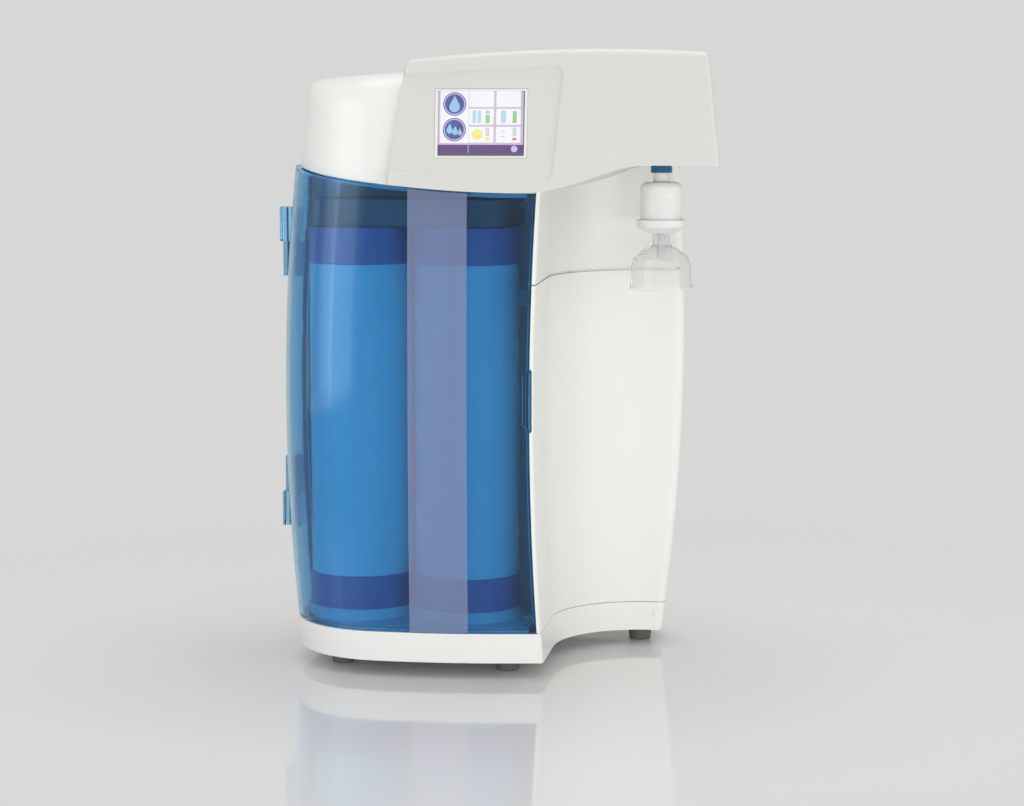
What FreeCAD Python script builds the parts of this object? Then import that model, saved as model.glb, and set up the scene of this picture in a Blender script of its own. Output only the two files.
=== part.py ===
"""Benchtop ultrapure water system: hollow barrel-sided housing with a hooded head, a hinged
translucent door over two cartridges, a dispense filter in a side recess, and the works inside.

Millimetres. +Z is up, +Y points to the rear and +X to the right of someone facing the front.
The origin lies on the surface that the feet stand on, under the middle of the whole system.
"""
import FreeCAD, Part
import math
import os

Vec = FreeCAD.Vector
UP = Vec(0, 0, 1)
BACK = Vec(0, 1, 0)
RIGHT = Vec(1, 0, 0)
FAR = 400.0                      # half size of the cutting blocks, larger than the system

# ---- plan of the housing at floor level -------------------------------------------------
bay_left_room = 11.8             # from the cartridges to the left side
bay_front_room = 29.0
bay_right_room = 32.6
bay_rear_room = 11.0
corner_setback = 13.0            # from the front at the left to the front right corner
bow_x = -35.0                    # where the front is furthest out
bow_rise = 3.0
recess_side_run = 4.0            # from the front right corner to the recess side wall's rear end
recess_y = 48.0                  # back wall of the dispense recess
right_x = 143.0                  # right end of the recess back wall
rear_y = 131.0                   # flat rear face
rear_left_x = -184.5
rear_right_x = 131.5
corner_radius = 4.0
recess_radius = 84.0
right_edge_radius = 8.0
rear_radius = 46.0
left_radius = 90.0
bow_radius = 560.0

# ---- barrel shape ----------------------------------------------------------------------
belly_z = 245.0                  # height of the widest section
belly_right_z = 300.0            # and of the right side's widest section
belly_side = 12.0                # growth of the left side from foot to belly
belly_front = 6.0
belly_right = 19.0
belly_corner = 8.0               # inward run of the recess corner
barrel_top_rise = 40.0           # above the crest
barrel_sections = 5

# ---- base and feet -----------------------------------------------------------------------
foot_height = 14.0
foot_top_radius = 12.0
foot_bottom_radius = 10.0
foot_edge_radius = 1.5
foot_pin_radius = 2.0
foot_pin_clearance = 0.1
foot_head_radius = 4.0
foot_head_height = 3.0
foot_head_recess = 2.0
foot_boss_radius = 7.0
foot_boss_height = 10.0
foot_places = {
    "front_left": (-141.0, -74.0),
    "front_right": (15.0, -79.0),
    "rear_left": (-141.0, 106.0),
    "rear_right": (118.0, 75.0),
}
base_height = 27.0
base_floor = 4.0
wall = 3.0                       # wall of every cover
cover_gap = 0.5                  # open joint between neighbouring covers
fit_gap = 0.3                    # clearance of a piece seated inside another

# ---- side seam ---------------------------------------------------------------------------
seam_drop = 81.5                 # of the right covers at the front corner, below the crest
seam_low_slope = 0.030
seam_high_slope = 0.042
seam_gap = 1.2
seam_lip = 6.0                   # reach of the tongue behind the joint, below and above it
seam_lip_thickness = 2.0

# ---- door --------------------------------------------------------------------------------
door_wall = 3.0
door_gap = 0.8
door_strip = 3.6                 # white edge left between door and front right corner
door_flange_depth = 8.0
door_flange_wall = 2.5
stripe_left_x = -66.0
stripe_width = 52.6
stripe_thickness = 0.3
grip_z = 252.0
grip_height = 58.0
grip_depth = 7.0
grip_thickness = 5.0
grip_strip_left = 1.6            # wall left beside the grip notch of the corner strip
grip_notch_depth = 9.0
screw_boss_radius = 3.5
screw_boss_length = 9.0
screw_boss_inset = 10.0
melt = 0.5                       # how far moulded-on features run into the door's wall

# ---- curve that parts door and shoulder, as (x, height above the crest) -------------------
crest_room = 7.4                 # from the manifold to the crest, the door's lowest top edge
top_curve_rises = [(60.0, 0.0), (-14.0, 1.0), (-85.0, 7.0), (-118.0, 11.0), (-158.0, 17.5),
                   (-183.0, 23.0), (-212.0, 30.0)]
shoulder_base_rise = 25.5        # level lower edge of the shoulder behind the hinges
top_step_x = 46.5

# ---- hinges ------------------------------------------------------------------------------
hinge_offset = 18.5              # from the left side out to the axis
hinge_setback = 25.0             # from the bay's rear wall forward to the axis
knuckle_radius = 4.9
knuckle_gap = 0.6
hinge_upper_drop = 49.0          # middle of the upper hinge below the crest
hinge_lower_z = 150.5
hinge_half_height = 32.5
leaf_thickness = 2.5
leaf_length = 24.0
web_length = 11.8
web_reach = 20.5
hinge_pin_radius = 1.5
running_clearance = 0.05

# ---- shoulder ----------------------------------------------------------------------------
shoulder_inset = 2.4             # step in from the housing below
shoulder_height = 83.0
shoulder_crown_radius = 1700.0
shoulder_crown_x = 6.0
shoulder_lean = 0.15             # inward run of the left side for its height
shoulder_corner_loss = 1.2       # of the front left corner's radius for the lean
shoulder_round = 36.0            # rounding of the top edge at the front, the right and the rear
shoulder_left_round = 9.0        # and at the left
shoulder_right_y = -30.0
shoulder_hidden_radius = 62.0    # corners under the head
shoulder_right_radius = 200.0

# ---- head --------------------------------------------------------------------------------
head_front_y = -144.0            # front face at the lower edge
head_rear_y = 73.0
head_tilt = 6.0
head_low_rise = 1.0              # heights of the head are above the crest
head_under_rise = 25.0           # level underside over the recess
head_left_low_rise = (-83.0, 8.5)
head_left_top_rise = (-67.0, 117.5)
head_crown_rise = (56.0, 125.5)
head_right_top_rise = (201.5, 123.0)
head_right_low_x = 211.7
head_bottom_rises = [(-48.0, 4.3), (-14.0, 2.2), (25.0, 1.2), (55.5, 2.2), (87.4, 9.7),
                     (113.5, 18.8), (136.0, 24.0)]
head_under_start_x = 152.0
head_taper = 0.13                # inward run of the right side for its depth
head_edge_radius = 5.0
head_top_radius = 11.0           # rounding along the top of the face
head_front_wall = 6.0
head_blank_reach = 100.0         # how far the head's blank starts ahead of its face
panel_depth = 2.5
panel_slope = 3.0                # run of the slope round the recessed panel
panel_corner_rises = [(-90.0, 21.0), (63.0, 14.4), (71.5, 109.0), (-70.0, 101.6)]
panel_radius = 5.0

# ---- display -----------------------------------------------------------------------------
display_x = 1.2
display_rise = 61.4
display_width = 77.0
display_height = 56.6
bezel_side = 2.5                 # bezel at the sides of the display, and above and below it
bezel_edge = 1.7
bezel_clearance = 0.25
bezel_setback = 0.3
bezel_flange = 4.5
bezel_flange_thickness = 1.8
glass_setback = 1.0
glass_thickness = 1.6
module_thickness = 5.0
board_width = 104.0
board_height = 74.0
board_thickness = 1.6
board_parts = [(-30.0, -12.0, 24.0, 18.0, 3.0), (6.0, 8.0, 18.0, 18.0, 2.4),
               (34.0, -16.0, 16.0, 24.0, 11.0), (-30.0, 20.0, 30.0, 10.0, 8.0)]
standoff_radius = 2.5
standoff_length = 6.0
standoff_inset = 6.0

# ---- dispense point ----------------------------------------------------------------------
dispense_x = 148.5
dispense_y = -37.0
plate_thickness = 3.0
plate_width = 54.0
plate_front_y = -128.0
plate_rear_y = 60.0
plate_lip = 3.5
plate_margin = 8.0               # head wall left at the right of the plate's rear end
stem_radius = 7.25
stem_clearance = 0.1
fitting_wall = 3.75
fitting_height = 26.0
fitting_foot_lip = 3.0
fitting_foot_height = 5.0
fitting_socket = 20.0
neck_wall = 0.55
fitting_neck_length = 0.6
collet_lip = 2.5
collet_length = 5.8
collet_gap = 1.8
collet_travel = 1.5

# ---- capsule filter, heights measured down from its shoulder ------------------------------
stem_length = 16.5               # from the head's underside to the capsule's shoulder
capsule_radius = 18.9
capsule_height = 34.0
capsule_round = 6.0              # rounding of the shoulder
capsule_flange_radius = 22.2
capsule_flange_height = 6.5
capsule_taper_radius = 12.8
capsule_taper_height = 5.5
capsule_nozzle_radius = 3.6
capsule_nozzle_height = 28.0
capsule_nozzle_bore = 2.2
bell_wall = 1.6
bell_curve = [(8.5, 0.0), (8.5, 9.7), (9.8, 11.6), (13.4, 13.4), (20.7, 18.3), (25.0, 23.1),
              (27.0, 30.4), (27.8, 50.4)]   # outer profile as (radius, depth below the top)
bell_rim_height = 3.5
bell_rim_width = 1.0

# ---- cartridges --------------------------------------------------------------------------
cartridge_y = -47.0
cartridge_left_x = -127.5
cartridge_gap = 0.9              # between the caps of the two cartridges
cartridge_radius = 48.0
cap_proud = 1.0
cartridge_pad = 2.5              # floor of the cradle's seats above its plate
cap_bottom_height = 38.0
cartridge_body_height = 285.5
cap_top_height = 34.0
cartridge_neck_radius = 20.0
cartridge_neck_height = 12.0
cartridge_wall = 3.0
cap_edge_radius = 2.0

# ---- cartridge bay -----------------------------------------------------------------------
bay_wall = 3.0
cradle_clearance = 5.0           # between the cradle and the door's flanges
cradle_thickness = 3.0
cradle_ring_wall = 1.0
cradle_ring_height = 10.0
cradle_post_radius = 7.0
cradle_post_front = 40.0         # posts ahead of and behind the cartridge axes
cradle_post_rear = 45.0
manifold_height = 24.0
manifold_clearance = 0.6
manifold_end_inset = 6.0
manifold_corner = 16.0
manifold_front = 38.0            # reach of the manifold ahead of the cartridge axes
ceiling_thickness = 3.0
ceiling_drop = 1.0
stub_radius = 7.0                # connections of the manifold through the bay wall
stub_reach = 14.0
magnet_size = (8.0, 10.0, 14.0)
magnet_drop = 86.0               # below the crest

# ---- works behind the bay ----------------------------------------------------------------
supply_size = (50.0, 74.0, 160.0)
supply_y = 22.0
supply_gap = 2.0                 # between power supply and pump bracket
supply_edge = 3.0
vent_count = 8
vent_pitch = 10.0
vent_height = 4.0
vent_depth = 1.5
vent_margin = 10.0               # at both ends of a vent
vent_start = 56.0
pump_gap = 7.0                   # between pump head and reactor
pump_y = 80.0
pump_plate = 84.0
pump_plate_thickness = 4.0
pump_plate_corner = 8.0
motor_radius = 34.0
motor_height = 88.0
groove_count = 5
groove_pitch = 9.0
groove_width = 4.0
groove_depth = 2.0
groove_start = 22.0
pump_head_radius = 37.0
pump_head_height = 36.0
pump_head_floor = 6.0
boss_radius = 8.0                # hose bosses of pump, reactor and ultrafilter
pump_boss_reach = 8.0
pump_boss_height = 10.0
pump_outlet_drop = 12.0
impeller_radius = 24.0
impeller_height = 10.0
impeller_clearance = 1.0
impeller_disc = 2.5
impeller_blades = 6
blade_thickness = 2.4
hub_radius = 6.0
shaft_radius = 4.0
shaft_depth = 20.0
uv_x = -8.0
uv_y = 78.0
uv_radius = 32.0
uv_height = 330.0
uv_wall = 2.0
uv_cap = 8.0
uv_boss_reach = 7.5
uv_boss_inset = 10.0
lamp_rest = 2.0                  # clear height under the lamp
lamp_radius = 8.0
lamp_head_radius = 13.0
lamp_head_height = 16.0
filter_gap = 2.0                 # between reactor and ultrafilter
filter_y = 72.0
filter_radius = 24.0
filter_height = 270.0
filter_cap_height = 24.0
filter_cap_extra = 2.0
filter_boss_height = 9.0
valve_width = 34.0
valve_depth = 28.0
valve_height = 26.0
coil_radius = 13.0
coil_height = 34.0
plunger_radius = 5.0
plunger_height = 22.0
plunger_clearance = 0.08
plunger_lift = 2.5
plunger_seat = 14.3              # seat above the foot of the valve
spring_wire = 0.5
spring_gap = 0.8
spring_seat = 0.1
spring_turns = 4
inlet_valve_z = 302.0
outlet_valve_y = 15.0
cell_radius = 8.0
cell_height = 18.0
cell_pin_radius = 3.0
cell_pin_height = 8.0

# ---- rear connections --------------------------------------------------------------------
port_z = 112.0
feed_x = 64.0
drain_x = 26.0
port_body_radius = 11.0
port_reach = 8.2                 # how far a port stands out of the rear panel
port_inside = 14.0
port_nut_radius = 14.0
port_nut_height = 5.0
feed_tube_radius = 4.7625        # 3/8 in tube
drain_tube_radius = 3.175        # 1/4 in tube
port_clearance = 0.04
port_socket_length = 14.0
collet_pocket = 8.0
collet_wall = 1.3
port_collet_flange = 1.5
port_collet_lip = 1.8
port_collet_reach = 4.8
inlet_x = -110.0
inlet_z = 200.0
inlet_side = 12.5                # beside the socket
inlet_margin = 7.0               # below the socket and above the rocker
inlet_bar = 4.8                  # between the openings
inlet_plate = 3.0
inlet_depth = 26.0
inlet_corner = 4.0
socket_width = 27.0
socket_height = 19.0
socket_depth = 17.0
socket_pin_size = (2.0, 4.0)
socket_pin_spacing = 7.0
socket_pin_drops = (2.5, -0.5, 2.5)
socket_pin_setback = 4.0
rocker_width = 19.0
rocker_height = 13.0
rocker_relief = 1.6
rocker_pocket = 14.0
rocker_pivot_depth = 5.0
rocker_back = 4.0                # from the pivot to the back
rocker_back_share = 0.6          # height of the back against the front
rocker_low = 1.0                 # setback of the pressed edge and of the middle
rocker_middle = 0.4
rocker_proud = 2.0
rocker_pin_radius = 1.5
rocker_pin_reach = 1.5
drawer_width = 22.0
drawer_height = 9.0
drawer_depth = 14.0
drawer_lip = 1.2
drawer_side = 3.0
drawer_end = 2.0
drawer_floor = 2.3
screw_radius = 1.75
screw_head_radius = 3.4
screw_head_height = 2.0
screw_length = 9.0
tube_radius = 3.175
tube_bore = 2.1
tube_bend = 12.0
tube_lane_room = 10.0            # from the bay wall's front to the upright tubes behind it
rear_lane_y = 121.0              # upright tubes along the rear panel
upper_lane_x = 108.0
cover_screw_inset = 10.0
tube_seat = 1.0                  # how far a tube ends inside its boss
over = 1.0                       # overshoot of cutting pieces

# ---- heights that follow ------------------------------------------------------------------
base_top_z = foot_height + base_height
floor_z = foot_height + base_floor
cartridge_base_z = base_top_z + cradle_thickness + cartridge_pad
cartridge_top_z = cartridge_base_z + cap_bottom_height + cartridge_body_height + cap_top_height
crest_z = cartridge_top_z + manifold_clearance + manifold_height + crest_room
barrel_top_z = crest_z + barrel_top_rise
seam_z = crest_z - seam_drop
magnet_z = crest_z - magnet_drop
hinge_upper_z = crest_z - hinge_upper_drop
shoulder_base_z = crest_z + shoulder_base_rise
shoulder_top_z = shoulder_base_z + shoulder_height
head_low_z = crest_z + head_low_rise
head_under_z = crest_z + head_under_rise
display_z = crest_z + display_rise
capsule_shoulder_z = head_under_z - stem_length


def above_crest(rises):
    """Points (x, z) from points (x, height above the crest)."""
    return [(x, crest_z + rise) for x, rise in rises]


top_curve = above_crest(top_curve_rises)
head_bottom_curve = above_crest(head_bottom_rises)
panel_corners = above_crest(panel_corner_rises)
head_left_low, head_left_top, head_crown, head_right_top = above_crest(
    [head_left_low_rise, head_left_top_rise, head_crown_rise, head_right_top_rise])

# ---- places and widths that follow --------------------------------------------------------
cap_radius = cartridge_radius + cap_proud
cartridge_spacing = 2 * cap_radius + cartridge_gap
left_x = cartridge_left_x - cap_radius - bay_left_room
front_y = cartridge_y - cap_radius - bay_front_room
corner_x = cartridge_left_x + cartridge_spacing + cap_radius + bay_right_room
corner_y = front_y + corner_setback
bow_y = front_y - bow_rise
recess_x = corner_x - recess_side_run
bay_wall_y = cartridge_y + cap_radius + bay_rear_room
hinge_x = left_x - hinge_offset
hinge_y = bay_wall_y - hinge_setback
tube_lane_y = bay_wall_y + tube_lane_room
pump_x = uv_x - uv_radius - pump_gap - pump_head_radius
filter_x = uv_x + uv_radius + filter_gap + filter_radius + filter_cap_extra
supply_x = pump_x - pump_plate / 2 - supply_gap - supply_size[0]
bezel_width = display_width + 2 * bezel_side
bezel_height = display_height + 2 * bezel_edge
fitting_radius = stem_radius + fitting_wall
fitting_foot_radius = fitting_radius + fitting_foot_lip
fitting_neck_radius = stem_radius + 2 * fit_gap + collet_wall + neck_wall
collet_radius = stem_radius + collet_lip
inlet_width = socket_width + 2 * inlet_side
rocker_slot = rocker_height + 2 * fit_gap
drawer_slot = drawer_height + 2 * fit_gap
inlet_height = 2 * (inlet_margin + inlet_bar) + socket_height + drawer_slot + rocker_slot
tilt = math.radians(head_tilt)


# ---- small helpers --------------------------------------------------------------------------
def box(low, high):
    """Block between two corners."""
    return Part.makeBox(high[0] - low[0], high[1] - low[1], high[2] - low[2], Vec(*low))


def cylinder(radius, x, y, z_low, z_high):
    """Upright cylinder."""
    return Part.makeCylinder(radius, z_high - z_low, Vec(x, y, z_low), UP)


def ring(radius, bore, x, y, z_low, z_high):
    """Upright tube."""
    return cylinder(radius, x, y, z_low, z_high).cut(cylinder(bore, x, y, z_low, z_high))


def rod(radius, start, length, direction):
    """Cylinder from a point along a direction."""
    return Part.makeCylinder(radius, length, Vec(*start), direction)


def revolve(profile, x, y):
    """Solid of revolution about an upright axis from (radius, z) points."""
    points = [Vec(x + radius, y, z) for radius, z in profile]
    face = Part.Face(Part.makePolygon(points + points[:1]))
    return face.revolve(Vec(x, y, 0), UP, 360)


def prism(points, start, run):
    """Solid from a closed polygon carried along a vector."""
    corners = [Vec(*point) for point in points]
    face = Part.Face(Part.makePolygon(corners + corners[:1]))
    face.translate(Vec(*start))
    return face.extrude(Vec(*run))


def solids_only(shape):
    """One shape that holds the solids of a result and nothing else."""
    solids = [solid for solid in shape.Solids if solid.Volume > 1.0]
    return solids[0] if len(solids) == 1 else Part.makeCompound(solids)


# ---- sections of the housing -------------------------------------------------------------------
def rounded_wire(corners, radii, z):
    """Closed wire of straight runs and corner arcs through a counter-clockwise polygon."""
    edges = []
    ends = []
    count = len(corners)
    for i in range(count):
        here = Vec(corners[i][0], corners[i][1], z)
        back = Vec(corners[i - 1][0], corners[i - 1][1], z)
        ahead = Vec(corners[(i + 1) % count][0], corners[(i + 1) % count][1], z)
        arrive = (here - back).normalize()
        leave = (ahead - here).normalize()
        turn = arrive.getAngle(leave)
        setback = radii[i] * math.tan(turn / 2)
        start = here - arrive * setback
        end = here + leave * setback
        to_centre = (leave - arrive).normalize()
        reach = radii[i] / math.cos(turn / 2)
        middle = here + to_centre * (reach - radii[i])
        ends.append((start, middle, end))
    for i in range(count):
        start, middle, end = ends[i]
        previous = ends[i - 1][2]
        edges.append(Part.LineSegment(previous, start).toShape())
        edges.append(Part.Arc(start, middle, end).toShape())
    return Part.Wire(edges)


def inset_polygon(corners, inset):
    """Counter-clockwise polygon with every side moved inward."""
    lines = []
    count = len(corners)
    for i in range(count):
        ax, ay = corners[i]
        bx, by = corners[(i + 1) % count]
        length = math.hypot(bx - ax, by - ay)
        nx = -(by - ay) / length
        ny = (bx - ax) / length
        lines.append((nx, ny, nx * ax + ny * ay + inset))
    moved = []
    for i in range(count):
        ax, ay, ac = lines[i - 1]
        bx, by, bc = lines[i]
        det = ax * by - ay * bx
        moved.append(((ac * by - bc * ay) / det, (ax * bc - bx * ac) / det))
    return moved


def bulge(z, widest_z=belly_z):
    """Share of the barrel's growth at a height: 0 at the foot, 1 at the widest section."""
    return 1.0 - ((z - widest_z) / (widest_z - foot_height)) ** 2


def right_growth(z):
    """Growth of the right side at a height."""
    return belly_right * bulge(z, belly_right_z)


def corner_at(z):
    """Front right corner of the housing at a height."""
    return (corner_x - belly_corner * bulge(z), corner_y - belly_front * bulge(z))


def body_wire(z, inset):
    """Outline of the housing at a height, moved inward."""
    grow = bulge(z)
    front = belly_front * grow
    corners = [
        corner_at(z),
        (recess_x - belly_corner * grow, recess_y),
        (right_x + right_growth(z), recess_y),
        (rear_right_x + right_growth(z), rear_y),
        (rear_left_x - belly_side * grow, rear_y),
        (left_x - belly_side * grow, front_y - front),
        (bow_x, bow_y - front),
    ]
    radii = [corner_radius - inset, recess_radius + inset, right_edge_radius - inset,
             rear_radius - inset, rear_radius - inset, left_radius - inset, bow_radius - inset]
    radii = [max(radius, corner_radius / 8) for radius in radii]
    return rounded_wire(inset_polygon(corners, inset), radii, z)


def body_block(inset, z_low, z_high):
    """Solid of the housing between two heights, moved inward."""
    steps = barrel_sections - 1
    heights = [z_low + (z_high - z_low) * i / steps for i in range(barrel_sections)]
    return Part.makeLoft([body_wire(z, inset) for z in heights], True, False)


def door_zone(gap):
    """Space in front of the hinge line and left of the door's right edge."""
    wires = []
    for i in range(barrel_sections):
        z = foot_height + (barrel_top_z - foot_height) * i / (barrel_sections - 1)
        edge_x = corner_at(z)[0] - door_strip - gap
        rear = hinge_y - hinge_pin_radius - gap
        points = [Vec(-FAR, -FAR, z), Vec(edge_x, -FAR, z), Vec(edge_x, rear, z),
                  Vec(-FAR, rear, z)]
        wires.append(Part.makePolygon(points + points[:1]))
    return Part.makeLoft(wires, True, False)


def above_top_curve(drop):
    """Space over the curved line between door and shoulder, carried from front to rear."""
    line = Part.BSplineCurve()
    line.interpolate([Vec(x, -FAR, z - drop) for x, z in top_curve])
    first = Vec(top_curve[0][0], -FAR, top_curve[0][1] - drop)
    last = Vec(top_curve[-1][0], -FAR, top_curve[-1][1] - drop)
    end_left = Vec(-FAR, -FAR, last.z)
    lid = [Part.LineSegment(last, end_left).toShape(),
           Part.LineSegment(end_left, Vec(-FAR, -FAR, 2 * FAR)).toShape(),
           Part.LineSegment(Vec(-FAR, -FAR, 2 * FAR), Vec(first.x, -FAR, 2 * FAR)).toShape(),
           Part.LineSegment(Vec(first.x, -FAR, 2 * FAR), first).toShape()]
    face = Part.Face(Part.Wire([line.toShape()] + lid))
    return face.extrude(Vec(0, 2 * FAR, 0))


def above_shoulder_line(drop):
    """Space over the lower edge of shoulder and head, lowered by a drop."""
    front = box((-FAR, -FAR, foot_height), (top_step_x, hinge_y, 2 * FAR))
    level = box((-FAR, -FAR, shoulder_base_z - drop), (FAR, FAR, 2 * FAR))
    return above_top_curve(drop).common(front).fuse(level.cut(front))


def below_seam(z, slope):
    """Space under the rising joint of the right covers."""
    rise = slope * (FAR - corner_y)
    fall = slope * (-FAR - corner_y)
    points = [(0, -FAR, -FAR), (0, FAR, -FAR), (0, FAR, z + rise), (0, -FAR, z + fall)]
    return prism(points, (-FAR, 0, 0), (2 * FAR, 0, 0))


# ---- housing blocks that several covers share -----------------------------------------------------
outer_block = body_block(0.0, foot_height, barrel_top_z)
inner_block = body_block(wall, foot_height, barrel_top_z)
shoulder_space = above_shoulder_line(0.0)
rear_split_left = rear_left_x + rear_radius - wall
rear_split_right = rear_right_x - rear_radius + wall


def cover_ring():
    """Skin of the housing between base and shoulder."""
    slab = box((-FAR, -FAR, base_top_z + cover_gap), (FAR, FAR, barrel_top_z))
    skin = outer_block.cut(inner_block).common(slab)
    return skin.cut(above_shoulder_line(cover_gap))


def left_space():
    """Space that holds the left side cover."""
    return box((-FAR, hinge_y - hinge_pin_radius, 0), (rear_split_left, FAR, FAR * 2))


def rear_space():
    """Space that holds the rear panel."""
    return box((rear_split_left, rear_y - 2 * wall, 0), (rear_split_right, FAR, FAR * 2))


def grip_lens(depth):
    """Long hexagonal prism of the finger grip, seen from the front."""
    edge_x = corner_at(grip_z)[0] - door_strip
    half = grip_height / 2
    shoulder = half - depth
    points = [(edge_x - depth, 0, grip_z - shoulder), (edge_x, 0, grip_z - half),
              (edge_x + depth, 0, grip_z - shoulder), (edge_x + depth, 0, grip_z + shoulder),
              (edge_x, 0, grip_z + half), (edge_x - depth, 0, grip_z + shoulder)]
    run = corner_at(grip_z)[1] + grip_notch_depth
    return prism(points, (0, -FAR, 0), (0, FAR + run, 0))


# ---- base ---------------------------------------------------------------------------------------------
def base_tray():
    """Shallow tray with bosses for the feet."""
    skin = body_block(0.0, foot_height, base_top_z)
    hollow = body_block(wall, floor_z, base_top_z + 1.0)
    tray = skin.cut(hollow)
    for x, y in foot_places.values():
        tray = tray.fuse(cylinder(foot_boss_radius, x, y, foot_height, floor_z + foot_boss_height))
    for x, y in foot_places.values():
        bore = foot_pin_radius + foot_pin_clearance
        tray = tray.cut(cylinder(bore, x, y, 0, floor_z + foot_boss_height))
    return tray


def rubber_feet():
    """Four tapered rubber feet with a pocket for the screw head."""
    feet = []
    pocket = foot_head_recess + foot_head_height
    for x, y in foot_places.values():
        cone = Part.makeCone(foot_bottom_radius, foot_top_radius, foot_height, Vec(x, y, 0), UP)
        edges = [edge for edge in cone.Edges if abs(edge.BoundBox.ZMax) < 0.01]
        cone = cone.makeFillet(foot_edge_radius, edges)
        cone = cone.cut(cylinder(foot_pin_radius + foot_pin_clearance, x, y, 0, foot_height))
        feet.append(cone.cut(cylinder(foot_head_radius + fit_gap, x, y, 0, pocket)))
    return Part.makeCompound(feet)


def foot_screws():
    """Screws that hold the feet to the tray."""
    screws = []
    neck = foot_head_recess + foot_head_height
    for x, y in foot_places.values():
        head = cylinder(foot_head_radius, x, y, foot_head_recess, neck)
        pin = cylinder(foot_pin_radius, x, y, neck, floor_z + foot_boss_height - 1.0)
        screws.append(head.fuse(pin))
    return Part.makeCompound(screws)


# ---- covers --------------------------------------------------------------------------------------------
def left_side_cover(skin):
    """Cover behind the hinges, round the rear left corner."""
    space = left_space().cut(rear_space())
    return solids_only(skin.common(space))


def right_covers(skin):
    """Lower and upper covers of the right side, recess and front corner strip."""
    door_side = door_zone(0.0).cut(behind_corner(door_flange_depth))
    part = skin.cut(door_side).cut(left_space()).cut(rear_space())
    part = part.cut(grip_lens(door_strip - grip_strip_left))
    low = part.common(below_seam(seam_z, seam_low_slope))
    high = part.cut(below_seam(seam_z + seam_gap, seam_high_slope))
    return solids_only(low.fuse(seam_tongue())), solids_only(high)


def seam_tongue():
    """Tongue on the lower right cover, behind the joint in the recess."""
    low = below_seam(seam_z - seam_lip, seam_low_slope)
    middle = below_seam(seam_z - over, seam_low_slope)
    high = below_seam(seam_z + seam_lip, seam_high_slope)
    back = body_block(wall + fit_gap + seam_lip_thickness, foot_height, barrel_top_z)
    root = body_block(wall - melt, foot_height, barrel_top_z).cut(back).common(middle).cut(low)
    tongue = body_block(wall + fit_gap, foot_height, barrel_top_z).cut(back).common(high).cut(low)
    corner = corner_at(seam_z)
    start_y = corner[1] + door_flange_depth + magnet_size[1] + 2 * fit_gap
    span = box((corner[0] - recess_side_run - 2 * wall, start_y, 0),
               (FAR, recess_y + 2 * wall, 2 * FAR))
    bay_wall_gap = box((0, bay_wall_y - fit_gap, 0), (FAR, bay_wall_y + bay_wall + fit_gap, 2 * FAR))
    return root.fuse(tongue).common(span).cut(bay_wall_gap)


def rear_panel(skin):
    """Flat rear panel with openings for the power inlet and the ports."""
    narrow = box((rear_split_left + cover_gap, rear_y - 2 * wall, 0),
                 (rear_split_right - cover_gap, FAR, FAR * 2))
    panel = skin.common(narrow)
    half_w = inlet_width / 2 - inlet_plate
    half_h = inlet_height / 2 - inlet_plate
    panel = panel.cut(box((inlet_x - half_w - fit_gap, 0, inlet_z - half_h - fit_gap),
                          (inlet_x + half_w + fit_gap, FAR, inlet_z + half_h + fit_gap)))
    for x in (feed_x, drain_x):
        hole = rod(port_body_radius + fit_gap, (x, 0, port_z), FAR, BACK)
        panel = panel.cut(hole)
    for x, z in cover_screw_places():
        panel = panel.cut(rod(screw_radius + fit_gap, (x, 0, z), FAR, BACK))
    return solids_only(panel)


def cover_screw_places():
    """Places of the rear panel's screws, as (x, z)."""
    inset = cover_screw_inset
    columns = (rear_split_left + inset, rear_split_right - inset)
    rows = (base_top_z + inset, (base_top_z + shoulder_base_z) / 2, shoulder_base_z - inset)
    return [(x, z) for x in columns for z in rows]


def cover_screws():
    """Pan head screws of the rear panel."""
    screws = []
    for x, z in cover_screw_places():
        head = rod(screw_head_radius, (x, rear_y, z), screw_head_height, BACK)
        pin = rod(screw_radius, (x, rear_y - screw_length, z), screw_length, BACK)
        screws.append(head.fuse(pin))
    return Part.makeCompound(screws)


def shoulder_wire(z, inset, lean):
    """Outline of the shoulder at a height, its left side moved in by a lean."""
    grow = bulge(shoulder_base_z)
    right = right_growth(shoulder_base_z)
    corners = [
        corner_at(shoulder_base_z),
        (right_x + right, shoulder_right_y),
        (right_x + right, recess_y),
        (rear_right_x + right, rear_y),
        (rear_left_x - belly_side * grow + lean, rear_y),
        (left_x - belly_side * grow + lean, front_y - belly_front * grow),
        (bow_x, bow_y - belly_front * grow),
    ]
    left_corner = left_radius - shoulder_corner_loss * lean
    radii = [shoulder_hidden_radius, shoulder_hidden_radius, shoulder_right_radius, rear_radius,
             rear_radius, left_corner, bow_radius]
    return rounded_wire(inset_polygon(corners, inset), [radius - inset for radius in radii], z)


def shoulder_block(thickness):
    """Solid of the rounded shoulder, moved inward by a thickness."""
    low_z = top_curve[0][1] - wall
    lean = shoulder_lean * (shoulder_top_z - low_z)
    depth = shoulder_inset + thickness
    block = Part.makeLoft([shoulder_wire(low_z, depth, 0.0),
                           shoulder_wire(shoulder_top_z, depth, lean)], True, True)
    crown = rod(shoulder_crown_radius - thickness,
                (shoulder_crown_x, -FAR, shoulder_top_z - shoulder_crown_radius), 2 * FAR, BACK)
    return rounded_rim(block.common(crown), thickness)


def rim_radius(x):
    """Rounding of the shoulder's rim at a distance across."""
    return shoulder_left_round if x < left_x + left_radius / 2 else shoulder_round


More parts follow.
